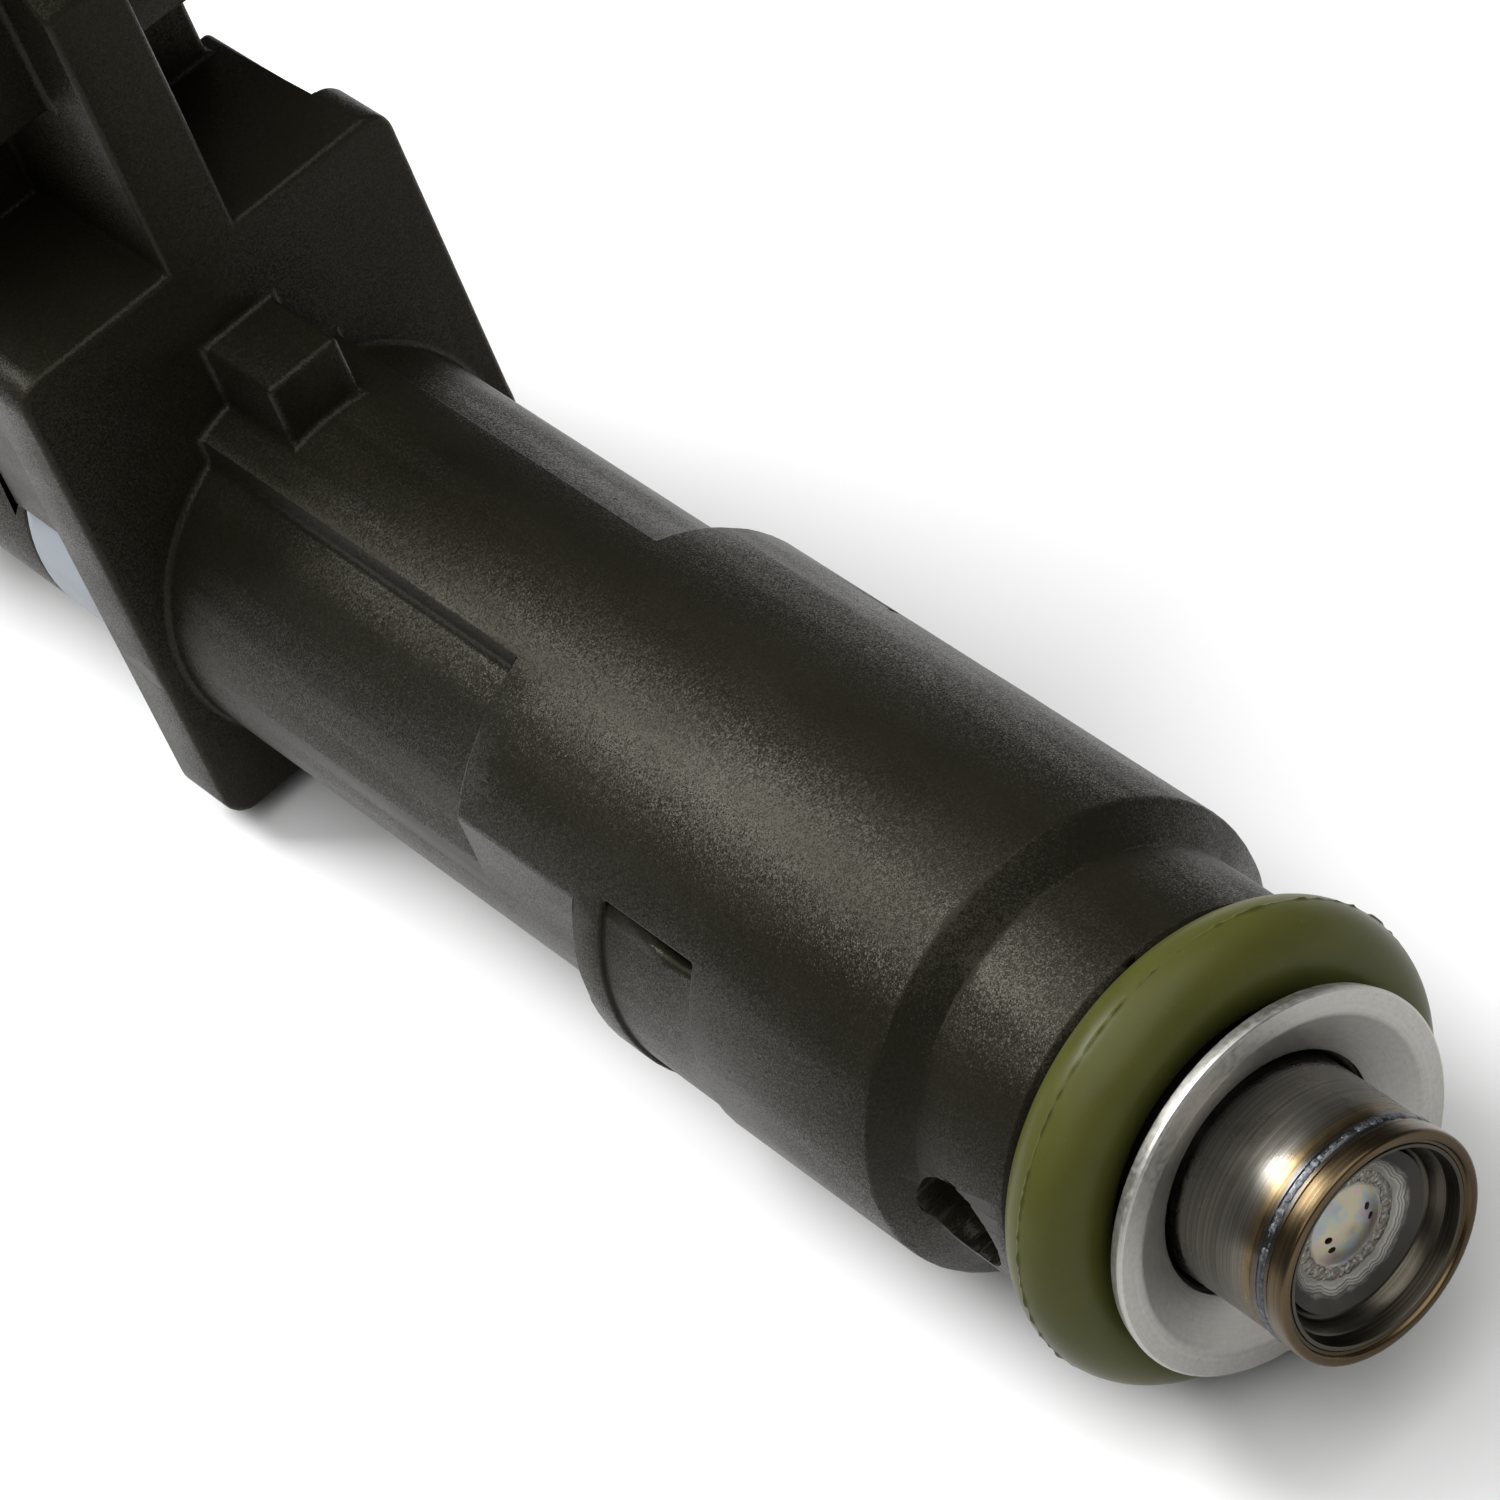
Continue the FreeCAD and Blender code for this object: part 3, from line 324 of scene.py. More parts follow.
def heat_tinted(material, tone, straw, bronze, blue):
    """The heat colours of the tip's weld, laid over a tone by distance from the tip."""
    along = add(material, "SeparateXYZ", {0: place(material)}).outputs["Y"]
    station = maths(material, "SUBTRACT", along, TIP)
    wander = maths(material, "MULTIPLY_ADD", cloud(material, 500.0, 2.0), 0.0005, -0.00025)
    reach = spread(material, maths(material, "ADD", station, wander), 0.0, 0.0034)
    stops = [(0.0, bronze), (0.2, bronze), (0.25, blue), (0.33, blue), (0.37, bronze), (0.43, straw),
             (0.56, (1.0, 0.97, 0.92))]
    return blend_colour(material, 1.0, tone, ramp(material, reach, stops), "MULTIPLY")


def turned_steel(name, base, gloss, lines=26000.0, tints=None):
    """Steel with lathe lines round the axis; tints are the heat colours to add near the tip."""
    material = finish(name, base, gloss, 1.0)
    cuts = cloud(material, 1.0, 2.0, stretched(material, 90.0, lines))
    haze = cloud(material, 900.0, 4.0)
    tone = mottled(material, cuts, toned(base, 0.58), base, 0.34, 0.66)
    if tints:
        tone = heat_tinted(material, tone, *tints)
    rough = uneven(material, haze, gloss - 0.05, gloss + 0.07)
    surface(material, tone, rough, cuts, strength=0.3, distance=0.000012)
    return material


def faced_steel(name, base, gloss):
    """Pressed or faced steel: soft rings about the axis over fine mottling, with a few scratches."""
    material = finish(name, base, gloss, 1.0)
    outward = maths(material, "MULTIPLY", radius_of(material), 9000.0)
    rings = cloud(material, 1.0, 2.0, add(material, "CombineXYZ", {0: outward}).outputs[0])
    mottling = cloud(material, 5200.0, 4.0)
    scratches = spread(material, cloud(material, 1.0, 2.0, stretched(material, 5200.0, 600.0)), 0.69, 0.74)
    shade = maths(material, "MULTIPLY_ADD", mottling, 0.6, maths(material, "MULTIPLY", rings, 0.4))
    tone = mottled(material, shade, toned(base, 0.8), base, 0.36, 0.62)
    tone = overlaid(material, scratches, 0.4, tone, toned(base, 0.5))
    rough = uneven(material, mottling, gloss - 0.06, gloss + 0.08)
    surface(material, tone, rough, shade, strength=0.4, distance=0.000014)
    return material


def crusted_weld(name, base, bright):
    """Oxidised weld metal with bright peaks."""
    material = finish(name, base, 0.5, 1.0)
    crust = cloud(material, 7000.0, 4.0)
    tone = mottled(material, crust, base, bright, 0.48, 0.72)
    surface(material, tone, uneven(material, crust, 0.36, 0.6), crust, strength=0.9, distance=0.00004)
    return material


def pearled_steel(name, base, swirl):
    """Thin sheet: faint oxide colours on its dome, bright weld swirls round them and dull steel outside."""
    material = finish(name, base, 0.45, 1.0)
    radius = radius_of(material)
    patch = cloud(material, 1500.0, 3.0)
    oxides = [(0.34, (0.36, 0.28, 0.29)), (0.43, (0.37, 0.33, 0.22)), (0.50, (0.32, 0.33, 0.28)),
              (0.57, (0.28, 0.31, 0.33)), (0.68, (0.36, 0.28, 0.29))]
    drift = cloud(material, 1.0, 3.0, direction_of(material, 2.2))
    wander = maths(material, "MULTIPLY_ADD", drift, 0.0005, radius)
    outward = maths(material, "MULTIPLY", wander, 13000.0)
    swirls = cloud(material, 1.0, 3.0, add(material, "CombineXYZ", {0: outward}).outputs[0])
    ringed = mottled(material, swirls, toned(swirl, 0.3), swirl, 0.36, 0.66)
    off_dome = spread(material, radius, 0.00118, 0.0013)
    off_swirls = spread(material, maths(material, "MULTIPLY_ADD", patch, 0.0003, radius), 0.00205, 0.00225)
    tone = blend_colour(material, off_dome, ramp(material, patch, oxides), ringed)
    tone = blend_colour(material, off_swirls, tone, toned(swirl, 0.13))
    depth = maths(material, "SUBTRACT", off_dome, maths(material, "MULTIPLY", off_swirls, 0.8))
    height = maths(material, "MULTIPLY", swirls, depth)
    surface(material, tone, uneven(material, patch, 0.38, 0.5), height, strength=0.6, distance=0.00005)
    return material


def drawn_wire(name, base, gloss):
    """Drawn metal wire with faint length marks."""
    material = finish(name, base, gloss, 1.0)
    marks = cloud(material, 3200.0, 3.0)
    tone = mottled(material, marks, toned(base, 0.78), base)
    rough = uneven(material, marks, gloss - 0.06, gloss + 0.08)
    surface(material, tone, rough, marks, strength=0.2, distance=0.00001)
    return material


def woven_plastic(name, base):
    """Filter cloth threads, of one roughness."""
    material = finish(name, base, 0.55)
    threads = cloud(material, 8000.0, 2.0)
    tone = blend_colour(material, threads, toned(base, 0.7), base)
    surface(material, tone, None, threads, strength=0.4, distance=0.00001)
    return material


def make_materials(finishes):
    """Every material of the injector, by the name of its finish."""
    tints = (finishes.straw_tint, finishes.bronze_tint, finishes.blue_tint)
    return {
        "housing": grained_plastic("housing_plastic", finishes.plastic, finishes.fleck_and_glint, 0.37),
        "collar": plain_plastic("collar_plastic", finishes.collar, 0.45),
        "backing": plain_plastic("backing_plastic", (0.03, 0.03, 0.03), 0.42),
        "bobbin": plain_plastic("bobbin_plastic", (0.55, 0.52, 0.45), 0.5),
        "filter": plain_plastic("filter_plastic", (0.50, 0.43, 0.28), 0.48),
        "weave": woven_plastic("filter_weave", (0.72, 0.70, 0.62)),
        "rubber": seal_rubber("seal_rubber", finishes.rubber),
        "tube": turned_steel("tip_tube_steel", toned(finishes.stainless, 0.62), 0.29, 14000.0, tints),
        "plain_tube": turned_steel("tube_steel", finishes.stainless, 0.3),
        "washer": faced_steel("retainer_steel", toned(finishes.stainless, 1.1), 0.44),
        # The recess finish paints the shade inside the tip with darkened steel.
        "shaded_recess": turned_steel("recess_steel_painted_shade", finishes.shaded_recess, 0.36, 18000.0),
        "disc": pearled_steel("disc_steel", (0.34, 0.32, 0.30), (0.36, 0.345, 0.31)),
        "weld": crusted_weld("weld_oxide", toned(finishes.blue_tint, 0.22), (0.20, 0.20, 0.20)),
        "disc_weld": crusted_weld("weld_bright", (0.16, 0.15, 0.13), (0.46, 0.44, 0.40)),
        "magnetic": turned_steel("magnetic_steel", (0.36, 0.36, 0.37), 0.34, 15000.0),
        "guide": faced_steel("guide_steel", (0.46, 0.44, 0.42), 0.3),
        "ball": drawn_wire("ball_steel", (0.62, 0.62, 0.64), 0.12),
        "spring": drawn_wire("spring_steel", (0.50, 0.50, 0.50), 0.28),
        "copper": drawn_wire("copper_wire", (0.72, 0.27, 0.12), 0.26),
        "terminal": drawn_wire("tinned_brass", (0.70, 0.68, 0.62), 0.3),
        "brass": turned_steel("filter_brass", (0.72, 0.52, 0.24), 0.3, 15000.0),
    }


# Filled by main() before the operators run.
MATERIALS = {}


# ---- making pieces ---------------------------------------------------------------------------------------

FULL_TURN = 2 * math.pi

# Points nearer than this, in metres, are one point, and faces that meet within this angle are one face.
MERGE_REACH = 1e-6
FLAT_ANGLE = 0.01

# How much of the room beside an edge its rounding may take: in the open, and beside a low step.
OPEN_SHARE = 0.45
LOW_STEP = 0.2 * MM
CONVEX_SHARE_BY_STEP = 0.7
CONCAVE_SHARE_BY_STEP = 0.25

# An eased bore: how near its radius a point counts as on it, and how far it is opened.
BORE_REACH = 0.04 * MM
BORE_EASE = 1.012


def new_piece(name, mesh, material, node):
    """Puts a finished mesh in the scene as a piece, which stands for a node of the frame or for none."""
    piece = bpy.data.objects.new(name, mesh)
    bpy.context.scene.collection.objects.link(piece)
    mesh.materials.clear()
    mesh.materials.append(MATERIALS[material])
    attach(piece, "injector")
    if node:
        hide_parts(node)


def new_soft_piece(node, name, width, material, bore=0.0):
    """A piece with its node's own shape, edges softened to a width in metres."""
    new_piece(name, softened(node, name, width, bore), material, node)


def applied(piece, mesh_name):
    """The piece's mesh with its modifiers worked in, and the modifiers removed."""
    bpy.context.view_layer.update()
    evaluated = piece.evaluated_get(bpy.context.evaluated_depsgraph_get())
    mesh = bpy.data.meshes.new_from_object(evaluated)
    mesh.name = mesh_name
    piece.modifiers.clear()
    return mesh


def scratch_object(name, mesh):
    """An object that only lives while its modifiers are worked in."""
    holder = bpy.data.objects.new(name, mesh)
    bpy.context.scene.collection.objects.link(holder)
    return holder


def square_to_axis(face):
    """Whether a face stands square to the injector's axis."""
    return abs(face.normal.y) > 0.999


def quartered(build):
    """Cuts the faces that stand square to the axis into quarters, and returns the edges between them.

    A ring then never becomes one face that wraps round its own hole.
    """
    for normal in ((1, 0, 0), (0, 0, 1)):
        square = [face for face in build.faces if square_to_axis(face)]
        edges = {edge for face in square for edge in face.edges}
        verts = {vert for face in square for vert in face.verts}
        bmesh.ops.bisect_plane(build, geom=square + list(edges) + list(verts), dist=0.1 * MERGE_REACH,
                               plane_co=(0, 0, 0), plane_no=normal)
    between = set()
    for edge in build.edges:
        on_plane = any(all(abs(vert.co[axis]) < MERGE_REACH for vert in edge.verts) for axis in (0, 2))
        if on_plane and all(square_to_axis(face) for face in edge.link_faces):
            between.add(edge)
    return between


def room_beside(edge, loop):
    """How far a rounding may reach into a face from one of its edges, at the edge's tightest place."""
    start, end = loop.vert.co, loop.link_loop_next.vert.co
    along = (end - start).normalized()
    across = loop.face.normal.cross(along)
    room = 1.0
    for other in loop.face.edges:
        flat = len(other.link_faces) == 2 and other.calc_face_angle(0.0) < FLAT_ANGLE
        if other is edge or flat:
            continue
        for share in (0.15, 0.5, 0.85):
            origin = start.lerp(end, share)
            first, last = (vert.co - origin for vert in other.verts)
            left, right = first.dot(along), last.dot(along)
            if (left > 0) == (right > 0):
                continue
            reach = first.dot(across) + (last - first).dot(across) * left / (left - right)
            part = OPEN_SHARE
            if reach < LOW_STEP and other.is_convex != edge.is_convex:
                part = CONVEX_SHARE_BY_STEP if edge.is_convex else CONCAVE_SHARE_BY_STEP
            if reach > 0.1 * MERGE_REACH:
                room = min(room, part * reach)
    return room


def weigh_edges(build, width, sharp):
    """Gives each sharp edge the share of a bevel's width that there is room for, or none if it is tiny."""
    weight = build.edges.layers.float.new("bevel_weight_edge")
    for edge in build.edges:
        if len(edge.link_loops) == 2 and edge.calc_face_angle(0.0) > sharp:
            room = min(room_beside(edge, loop) for loop in edge.link_loops)
            share = min(1.0, room / width)
            edge[weight] = share if share > 0.06 else 0.0


def softened(node, name, width, bore=0.0):
    """A merged copy of a node's mesh with smooth shading, its edges rounded as far as there is room.

    A bore radius opens that bore a little, so that its flat-sided mesh stays off the tube inside it.
    """
    sharp = math.radians(28.0)
    build = bmesh.new()
    build.from_mesh(NODES[node].data)
    bmesh.ops.remove_doubles(build, verts=build.verts, dist=MERGE_REACH)
    build.normal_update()
    kept = quartered(build)
    merging = [edge for edge in build.edges if edge not in kept]
    bmesh.ops.dissolve_limit(build, angle_limit=math.radians(0.4), verts=build.verts, edges=merging)
    build.normal_update()
    for face in build.faces:
        face.smooth = True
    if width > 0:
        weigh_edges(build, width, sharp)
    mesh = bpy.data.meshes.new(name)
    build.to_mesh(mesh)
    build.free()
    if width <= 0:
        mesh.set_sharp_from_angle(angle=sharp)
        return mesh
    holder = scratch_object(name + "_blank", mesh)
    bevel = holder.modifiers.new("soft_edges", "BEVEL")
    bevel.width = width
    bevel.segments = 3
    bevel.limit_method = "WEIGHT"
    bevel.use_clamp_overlap = False
    bevel.harden_normals = True
    result = applied(holder, name)
    bpy.data.objects.remove(holder)
    for vert in result.vertices:
        radius = math.hypot(vert.co.x, vert.co.z)
        if bore and abs(radius - bore) < BORE_REACH:
            vert.co.x *= BORE_EASE
            vert.co.z *= BORE_EASE
    return result


def arc_corner(before, corner, after, size, steps):
    """Points that round one corner of an outline."""
    to_before, to_after = (before - corner), (after - corner)
    limit = 0.49 * min(to_before.length, to_after.length)
    half = 0.5 * to_before.angle(to_after)
    cut = min(size / math.tan(half), limit) if half > 1e-3 else limit
    start = corner + to_before.normalized() * cut
    end = corner + to_after.normalized() * cut
    points = []
    for step in range(steps + 1):
        t = step / steps
        points.append((1 - t) ** 2 * start + 2 * t * (1 - t) * corner + t**2 * end)
    return points


def rounded(outline, steps=5):
    """Turns (radius, station, rounding) corners in millimetres into points in metres from the tip."""
    corners = [Vector((radius * MM, station * MM)) for radius, station, _ in outline]
    points = []
    for index, (_, _, size) in enumerate(outline):
        corner = corners[index]
        after = corners[(index + 1) % len(corners)]
        if size:
            points += arc_corner(corners[index - 1], corner, after, size * MM, steps)
        else:
            points.append(corner)
    return points


def ring_mesh(name, rows):
    """A closed ring of smooth quads through rows of points, each row an outline in its own half-plane."""
    build = bmesh.new()
    outlines = [[build.verts.new(point) for point in row] for row in rows]
    for here, there in zip(outlines, outlines[1:] + outlines[:1]):
        for index in range(len(here)):
            ahead = (index + 1) % len(here)
            build.faces.new((here[index], here[ahead], there[ahead], there[index])).smooth = True
    bmesh.ops.recalc_face_normals(build, faces=build.faces)
    mesh = bpy.data.meshes.new(name)
    build.to_mesh(mesh)
    build.free()
    return mesh


def turned(name, points, steps=160):
    """A closed ring made by turning an outline round the axis."""
    rows = []
    for step in range(steps):
        turn = FULL_TURN * step / steps
        rows.append([(p.x * math.cos(turn), TIP + p.y, p.x * math.sin(turn)) for p in points])
    mesh = ring_mesh(name, rows)
    mesh.set_sharp_from_angle(angle=math.radians(35.0))
    return mesh


def section_angles():
    """Angles round a seal's section, close together at the two mould lines."""
    near_line = [0.0, 0.011, 0.022, 0.04, 0.075]
    first, step = 0.12, 0.1
    plain = [first + step * n for n in range(int((math.pi - 2 * first) / step))]
    half_turn = near_line + plain + [math.pi - t for t in reversed(near_line[1:])]
    return half_turn + [math.pi] + [FULL_TURN - t for t in reversed(half_turn[1:])]


def seal_mesh(name, node, flash, seed):
    """An O-ring with the thin, torn line that its mould leaves round the outside and inside."""
    low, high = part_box(node)
    centre = 0.5 * (low.y + high.y)
    section = 0.5 * (high.y - low.y)
    ring = 0.5 * (high.x - low.x) - section
    body = section - flash
    line_width = 0.02
    tear_pitch = 22
    angles = section_angles()
    steps = 300
    rows = []
    for step in range(steps):
        turn = FULL_TURN * step / steps
        spot = Vector((math.cos(turn) * tear_pitch, math.sin(turn) * tear_pitch, seed))
        tear = min(1.0, 0.1 + 2.8 * max(0.0, noise.noise(spot) + 0.1))
        row = []
        for t in angles:
            off_line = min(abs(t), abs(t - math.pi), abs(t - FULL_TURN))
            size = body + flash * tear * math.exp(-((off_line / line_width) ** 2))
            radius = ring + size * math.cos(t)
            row.append((radius * math.cos(turn), centre + size * math.sin(t), radius * math.sin(turn)))
        rows.append(row)
    return ring_mesh(name, rows)


# ---- node trees for what repeats -------------------------------------------------------------------------

THREAD_SIDES = 5
HOOP_SIDES = 40


class Tree:
    """A geometry node tree being built, with named inputs."""

    def __init__(self, name, sockets):
        """Starts a tree whose inputs are given as (name, kind)."""
        self.group = bpy.data.node_groups.new(name, "GeometryNodeTree")
        self.group.interface.new_socket("Geometry", in_out="INPUT", socket_type="NodeSocketGeometry")
        for label, kind in sockets:
            self.group.interface.new_socket(label, in_out="INPUT", socket_type="NodeSocket" + kind)
        self.group.interface.new_socket("Geometry", in_out="OUTPUT", socket_type="NodeSocketGeometry")
        self.inputs = self.group.nodes.new("NodeGroupInput").outputs

    def add(self, kind, inputs=None, **settings):
        """The first output of a new node with its inputs linked or set."""
        node = self.group.nodes.new(kind)
        for key, setting in settings.items():
            setattr(node, key, setting)
        for key, source in (inputs or {}).items():
            if isinstance(source, bpy.types.NodeSocket):
                self.group.links.new(source, node.inputs[key])
            else:
                node.inputs[key].default_value = source
        return node.outputs[0]

    def circle(self, resolution, radius):
        """A circle as a curve."""
        return self.add("GeometryNodeCurvePrimitiveCircle", {"Resolution": resolution, "Radius": radius})

    def swept(self, curve, profile, caps=False):
        """A curve made solid by a profile."""
        inputs = {"Curve": curve, "Profile Curve": profile, "Fill Caps": caps}
        return self.add("GeometryNodeCurveToMesh", inputs)

    def laid_round_axis(self, geometry, station, turn):
        """Geometry made round Z, turned about X to lie round Y, and moved to its station."""
        shift = self.add("ShaderNodeCombineXYZ", {"Y": station})
        inputs = {"Geometry": geometry, "Translation": shift, "Rotation": (turn, 0.0, 0.0)}
        return self.add("GeometryNodeTransform", inputs)

    def close(self, geometry):
        """Ends the tree in plain geometry with its finish."""
        real = self.add("GeometryNodeRealizeInstances", {"Geometry": geometry})
        inputs = {"Geometry": real, "Material": self.inputs["Finish"]}
        painted = self.add("GeometryNodeSetMaterial", inputs)
        end = self.group.nodes.new("NodeGroupOutput")
        self.group.links.new(painted, end.inputs[0])
        return self.group


def grown(name, group, values):
    """The mesh that a node tree gives for these input values."""
    holder = scratch_object(name + "_seed", bpy.data.meshes.new(name + "_seed"))
    modifier = holder.modifiers.new("grow", "NODES")
    modifier.node_group = group
    for item in group.interface.items_tree:
        if item.in_out == "INPUT" and item.name in values:
            modifier[item.identifier] = values[item.name]
    mesh = applied(holder, name)
    bpy.data.objects.remove(holder)
    for face in mesh.polygons:
        face.use_smooth = True
    return mesh


def weld_ring_tree():
    """Overlapping weld ripples in a ring round the injector's axis."""
    tree = Tree("weld_ring", [("Ring Radius", "Float"), ("Station", "Float"), ("Ripples", "Int"),
                              ("Ripple Size", "Vector"), ("Unevenness", "Float"), ("Seed", "Int"),
                              ("Finish", "Material")])
    given = tree.inputs
    ring = tree.circle(given["Ripples"], given["Ring Radius"])
    lump = tree.add("GeometryNodeMeshIcoSphere", {"Radius": 1.0, "Subdivisions": 2})
    low = tree.add("ShaderNodeMath", {0: 1.0, 1: given["Unevenness"]}, operation="SUBTRACT")
    high = tree.add("ShaderNodeMath", {0: 1.0, 1: given["Unevenness"]}, operation="ADD")
    bounds = {0: low, 1: high, "Seed": given["Seed"]}
    vary = tree.add("FunctionNodeRandomValue", bounds, data_type="FLOAT_VECTOR")
    size = tree.add("ShaderNodeVectorMath", {0: given["Ripple Size"], 1: vary}, operation="MULTIPLY")
    along = {"Vector": tree.add("GeometryNodeInputTangent")}
    facing = tree.add("FunctionNodeAlignRotationToVector", along, axis="X", pivot_axis="Z")
    copies = {"Points": ring, "Instance": lump, "Rotation": facing, "Scale": size}
    ripples = tree.add("GeometryNodeInstanceOnPoints", copies)
    return tree.close(tree.laid_round_axis(ripples, given["Station"], math.pi / 2))


def filter_cloth_tree():
    """A sleeve of crossing threads round the injector's axis."""
    tree = Tree("filter_cloth", [("Sleeve Radius", "Float"), ("Start", "Float"), ("Length", "Float"),
                                 ("Rings", "Int"), ("Bars", "Int"), ("Thread", "Float"),
                                 ("Finish", "Material")])
    given = tree.inputs
    thread = tree.circle(THREAD_SIDES, given["Thread"])
    end = tree.add("ShaderNodeCombineXYZ", {"Z": given["Length"]})
    hoop = tree.swept(tree.circle(HOOP_SIDES, given["Sleeve Radius"]), thread)
    column = {"Count": given["Rings"], "Offset": end}
    stations = tree.add("GeometryNodeMeshLine", column, mode="END_POINTS")
    hoops = tree.add("GeometryNodeInstanceOnPoints", {"Points": stations, "Instance": hoop})
    line = tree.add("GeometryNodeCurvePrimitiveLine", {"Start": (0.0, 0.0, 0.0), "End": end})
    bar = tree.swept(line, thread, caps=True)
    stand = tree.circle(given["Bars"], given["Sleeve Radius"])
    bars = tree.add("GeometryNodeInstanceOnPoints", {"Points": stand, "Instance": bar})
    both = tree.group.nodes.new("GeometryNodeJoinGeometry")
    for part in (bars, hoops):
        tree.group.links.new(part, both.inputs[0])
    return tree.close(tree.laid_round_axis(both.outputs[0], given["Start"], -math.pi / 2))


# ---- operators -------------------------------------------------------------------------------------------

class INJECTOR_OT_housing(bpy.types.Operator):
    """Moulded housing, half collar and backing ring, with soft edges"""

    bl_idname = "injector.housing"
    bl_label = "Moulded pieces"

    def execute(self, context):
        shape = context.scene.injector_shape
        soft = shape.corner_softness
        new_soft_piece("overmoulded_housing", "moulded_housing", shape.edge_softness, "housing",
                       bore=3.48 * MM)
        new_soft_piece("half_collar", "pale_half_collar", soft, "collar")
        new_soft_piece("backing_ring", "rail_backing_ring", soft, "backing")
        return {"FINISHED"}


class INJECTOR_OT_nozzle(bpy.types.Operator):
    """Steel tip tube with its rolled lip and weld bead"""

    bl_idname = "injector.nozzle"
    bl_label = "Tip tube"

    def execute(self, context):
        shape = context.scene.injector_shape
        low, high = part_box("valve_tube")
        end = (high.y - low.y) / MM
        outline = [
            (3.18, 0.12, 0.03),
            (3.24, 0.0, 0.08),
            (3.52, 0.0, 0.16),
            (3.52, 0.6, 0.08),
            (3.46, 0.7, 0.04),
            (3.46, 0.82, 0.03),
            (3.5, 0.9, 0.05),
            (3.5, 1.02, 0.05),
            (3.45, 1.12, 0.03),
            (3.45, end, 0.0),
            (3.1, end, 0.0),
            (3.1, 0.14, 0.0),
        ]
        new_piece("tip_tube", turned("tip_tube", rounded(outline)), "tube", "valve_tube")
        bead = grown("tip_weld_bead", weld_ring_tree(), {
            "Ring Radius": 3.45 * MM,
            "Station": TIP + 0.95 * MM,
            "Ripples": shape.ripples,
            "Ripple Size": (shape.ripple_length, shape.ripple_height, shape.ripple_width),
            "Unevenness": 0.22,
            "Seed": 4,
            "Finish": MATERIALS["weld"],
        })
        new_piece("tip_weld_bead", bead, "weld", None)
        return {"FINISHED"}


class INJECTOR_OT_seat(bpy.types.Operator):
    """Recess in the tip, spray disc and the weld that holds it"""

    bl_idname = "injector.seat"
    bl_label = "Seat and spray disc"

    def execute(self, context):
        outline = [
            (2.95, 0.13, 0.05),
            (3.06, 0.1, 0.04),
            (3.1, 0.18, 0.03),
            (3.1, 3.3, 0.0),
            (2.0, 3.3, 0.0),
            (0.6, 1.9, 0.0),
            (0.6, 1.55, 0.0),
            (1.6, 1.55, 0.0),
            (2.45, 1.15, 0.0),
            (2.62, 1.05, 0.15),
            (2.8, 0.62, 0.0),
            (2.86, 0.58, 0.0),
        ]
        # The recess gets the darkened steel, which paints the shade inside the tip.
        shaded_recess = turned("tip_recess", rounded(outline))
        new_piece("tip_recess", shaded_recess, "shaded_recess", "valve_seat")
        new_soft_piece("orifice_disc", "spray_disc", 0.0, "disc")
        weld = grown("disc_weld", weld_ring_tree(), {
            "Ring Radius": 1.5 * MM,
            "Station": TIP + 1.4 * MM,
            "Ripples": 76,
            "Ripple Size": (0.15 * MM, 0.2 * MM, 0.04 * MM),
            "Unevenness": 0.35,
            "Seed": 9,
            "Finish": MATERIALS["disc_weld"],
        })
        new_piece("disc_weld", weld, "disc_weld", None)
        return {"FINISHED"}


class INJECTOR_OT_seals(bpy.types.Operator):
    """Both rubber seals, with their mould lines"""

    bl_idname = "injector.seals"
    bl_label = "Seals"

    def execute(self, context):
        flash = context.scene.injector_shape.flash_height
        seals = (("lower_o_ring", "lower_seal_ring", 3.0), ("upper_o_ring", "upper_seal_ring", 4.0))
        for node, name, seed in seals:
            new_piece(name, seal_mesh(name, node, flash, seed), "rubber", node)
        return {"FINISHED"}


class INJECTOR_OT_retainer(bpy.types.Operator):
    """Pressed stainless washer that keeps the lower seal on"""

    bl_idname = "injector.retainer"
    bl_label = "Seal retainer"

    def execute(self, context):
        front = (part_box("seal_retainer")[0].y - TIP) / MM
        outline = [
            (5.05, front, 0.4),
            (5.76, front, 0.04),
            (5.83, front + 0.05, 0.03),
            (5.83, front + 0.15, 0.03),
            (5.74, front + 0.5, 0.08),
            (4.9, front + 0.6, 0.2),
            (4.3, front + 0.75, 0.0),
            (3.7, front + 0.75, 0.0),
            (3.68, front + 0.66, 0.03),
            (4.35, front + 0.34, 0.5),
        ]
        washer = turned("seal_washer", rounded(outline, steps=8), steps=200)
        new_piece("seal_washer", washer, "washer", "seal_retainer")
        return {"FINISHED"}


class INJECTOR_OT_inlet(bpy.types.Operator):
    """Inlet tube with its filter"""

    bl_idname = "injector.inlet"
    bl_label = "Inlet and filter"

    def execute(self, context):
        soft = context.scene.injector_shape.corner_softness
        new_soft_piece("inlet_tube", "fuel_inlet_tube", soft, "plain_tube")
        new_soft_piece("filter_collar", "filter_ferrule", 0.5 * soft, "brass")
        low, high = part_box("filter_mesh")
        thread = 0.03 * MM
        cloth = grown("filter_cloth", filter_cloth_tree(), {
            "Sleeve Radius": high.x - thread,
            "Start": low.y + thread,
            "Length": high.y - low.y - 2 * thread,
            "Rings": 34,
            "Bars": 56,
            "Thread": thread,
            "Finish": MATERIALS["weave"],
        })
        new_piece("filter_cloth", cloth, "weave", "filter_mesh")
        return {"FINISHED"}


def winding_outline(turns):
    """Outline of a coil whose outside shows its turns of wire as ridges."""
    low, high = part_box("coil_winding")
    pitch = (high.y - low.y) / turns
    start, end = low.y - TIP, high.y - TIP
    inside, valley = 4.05 * MM, high.x - 0.5 * pitch
    ridge_steps = 7
    points = [Vector((inside, start))]
    for turn in range(turns):
        for step in range(ridge_steps):
            swing = math.pi * step / ridge_steps
            middle = start + pitch * (turn + 0.5)
            points.append(Vector((valley + 0.5 * pitch * math.sin(swing),
                                  middle - 0.5 * pitch * math.cos(swing))))
    return points + [Vector((valley, end)), Vector((inside, end))]


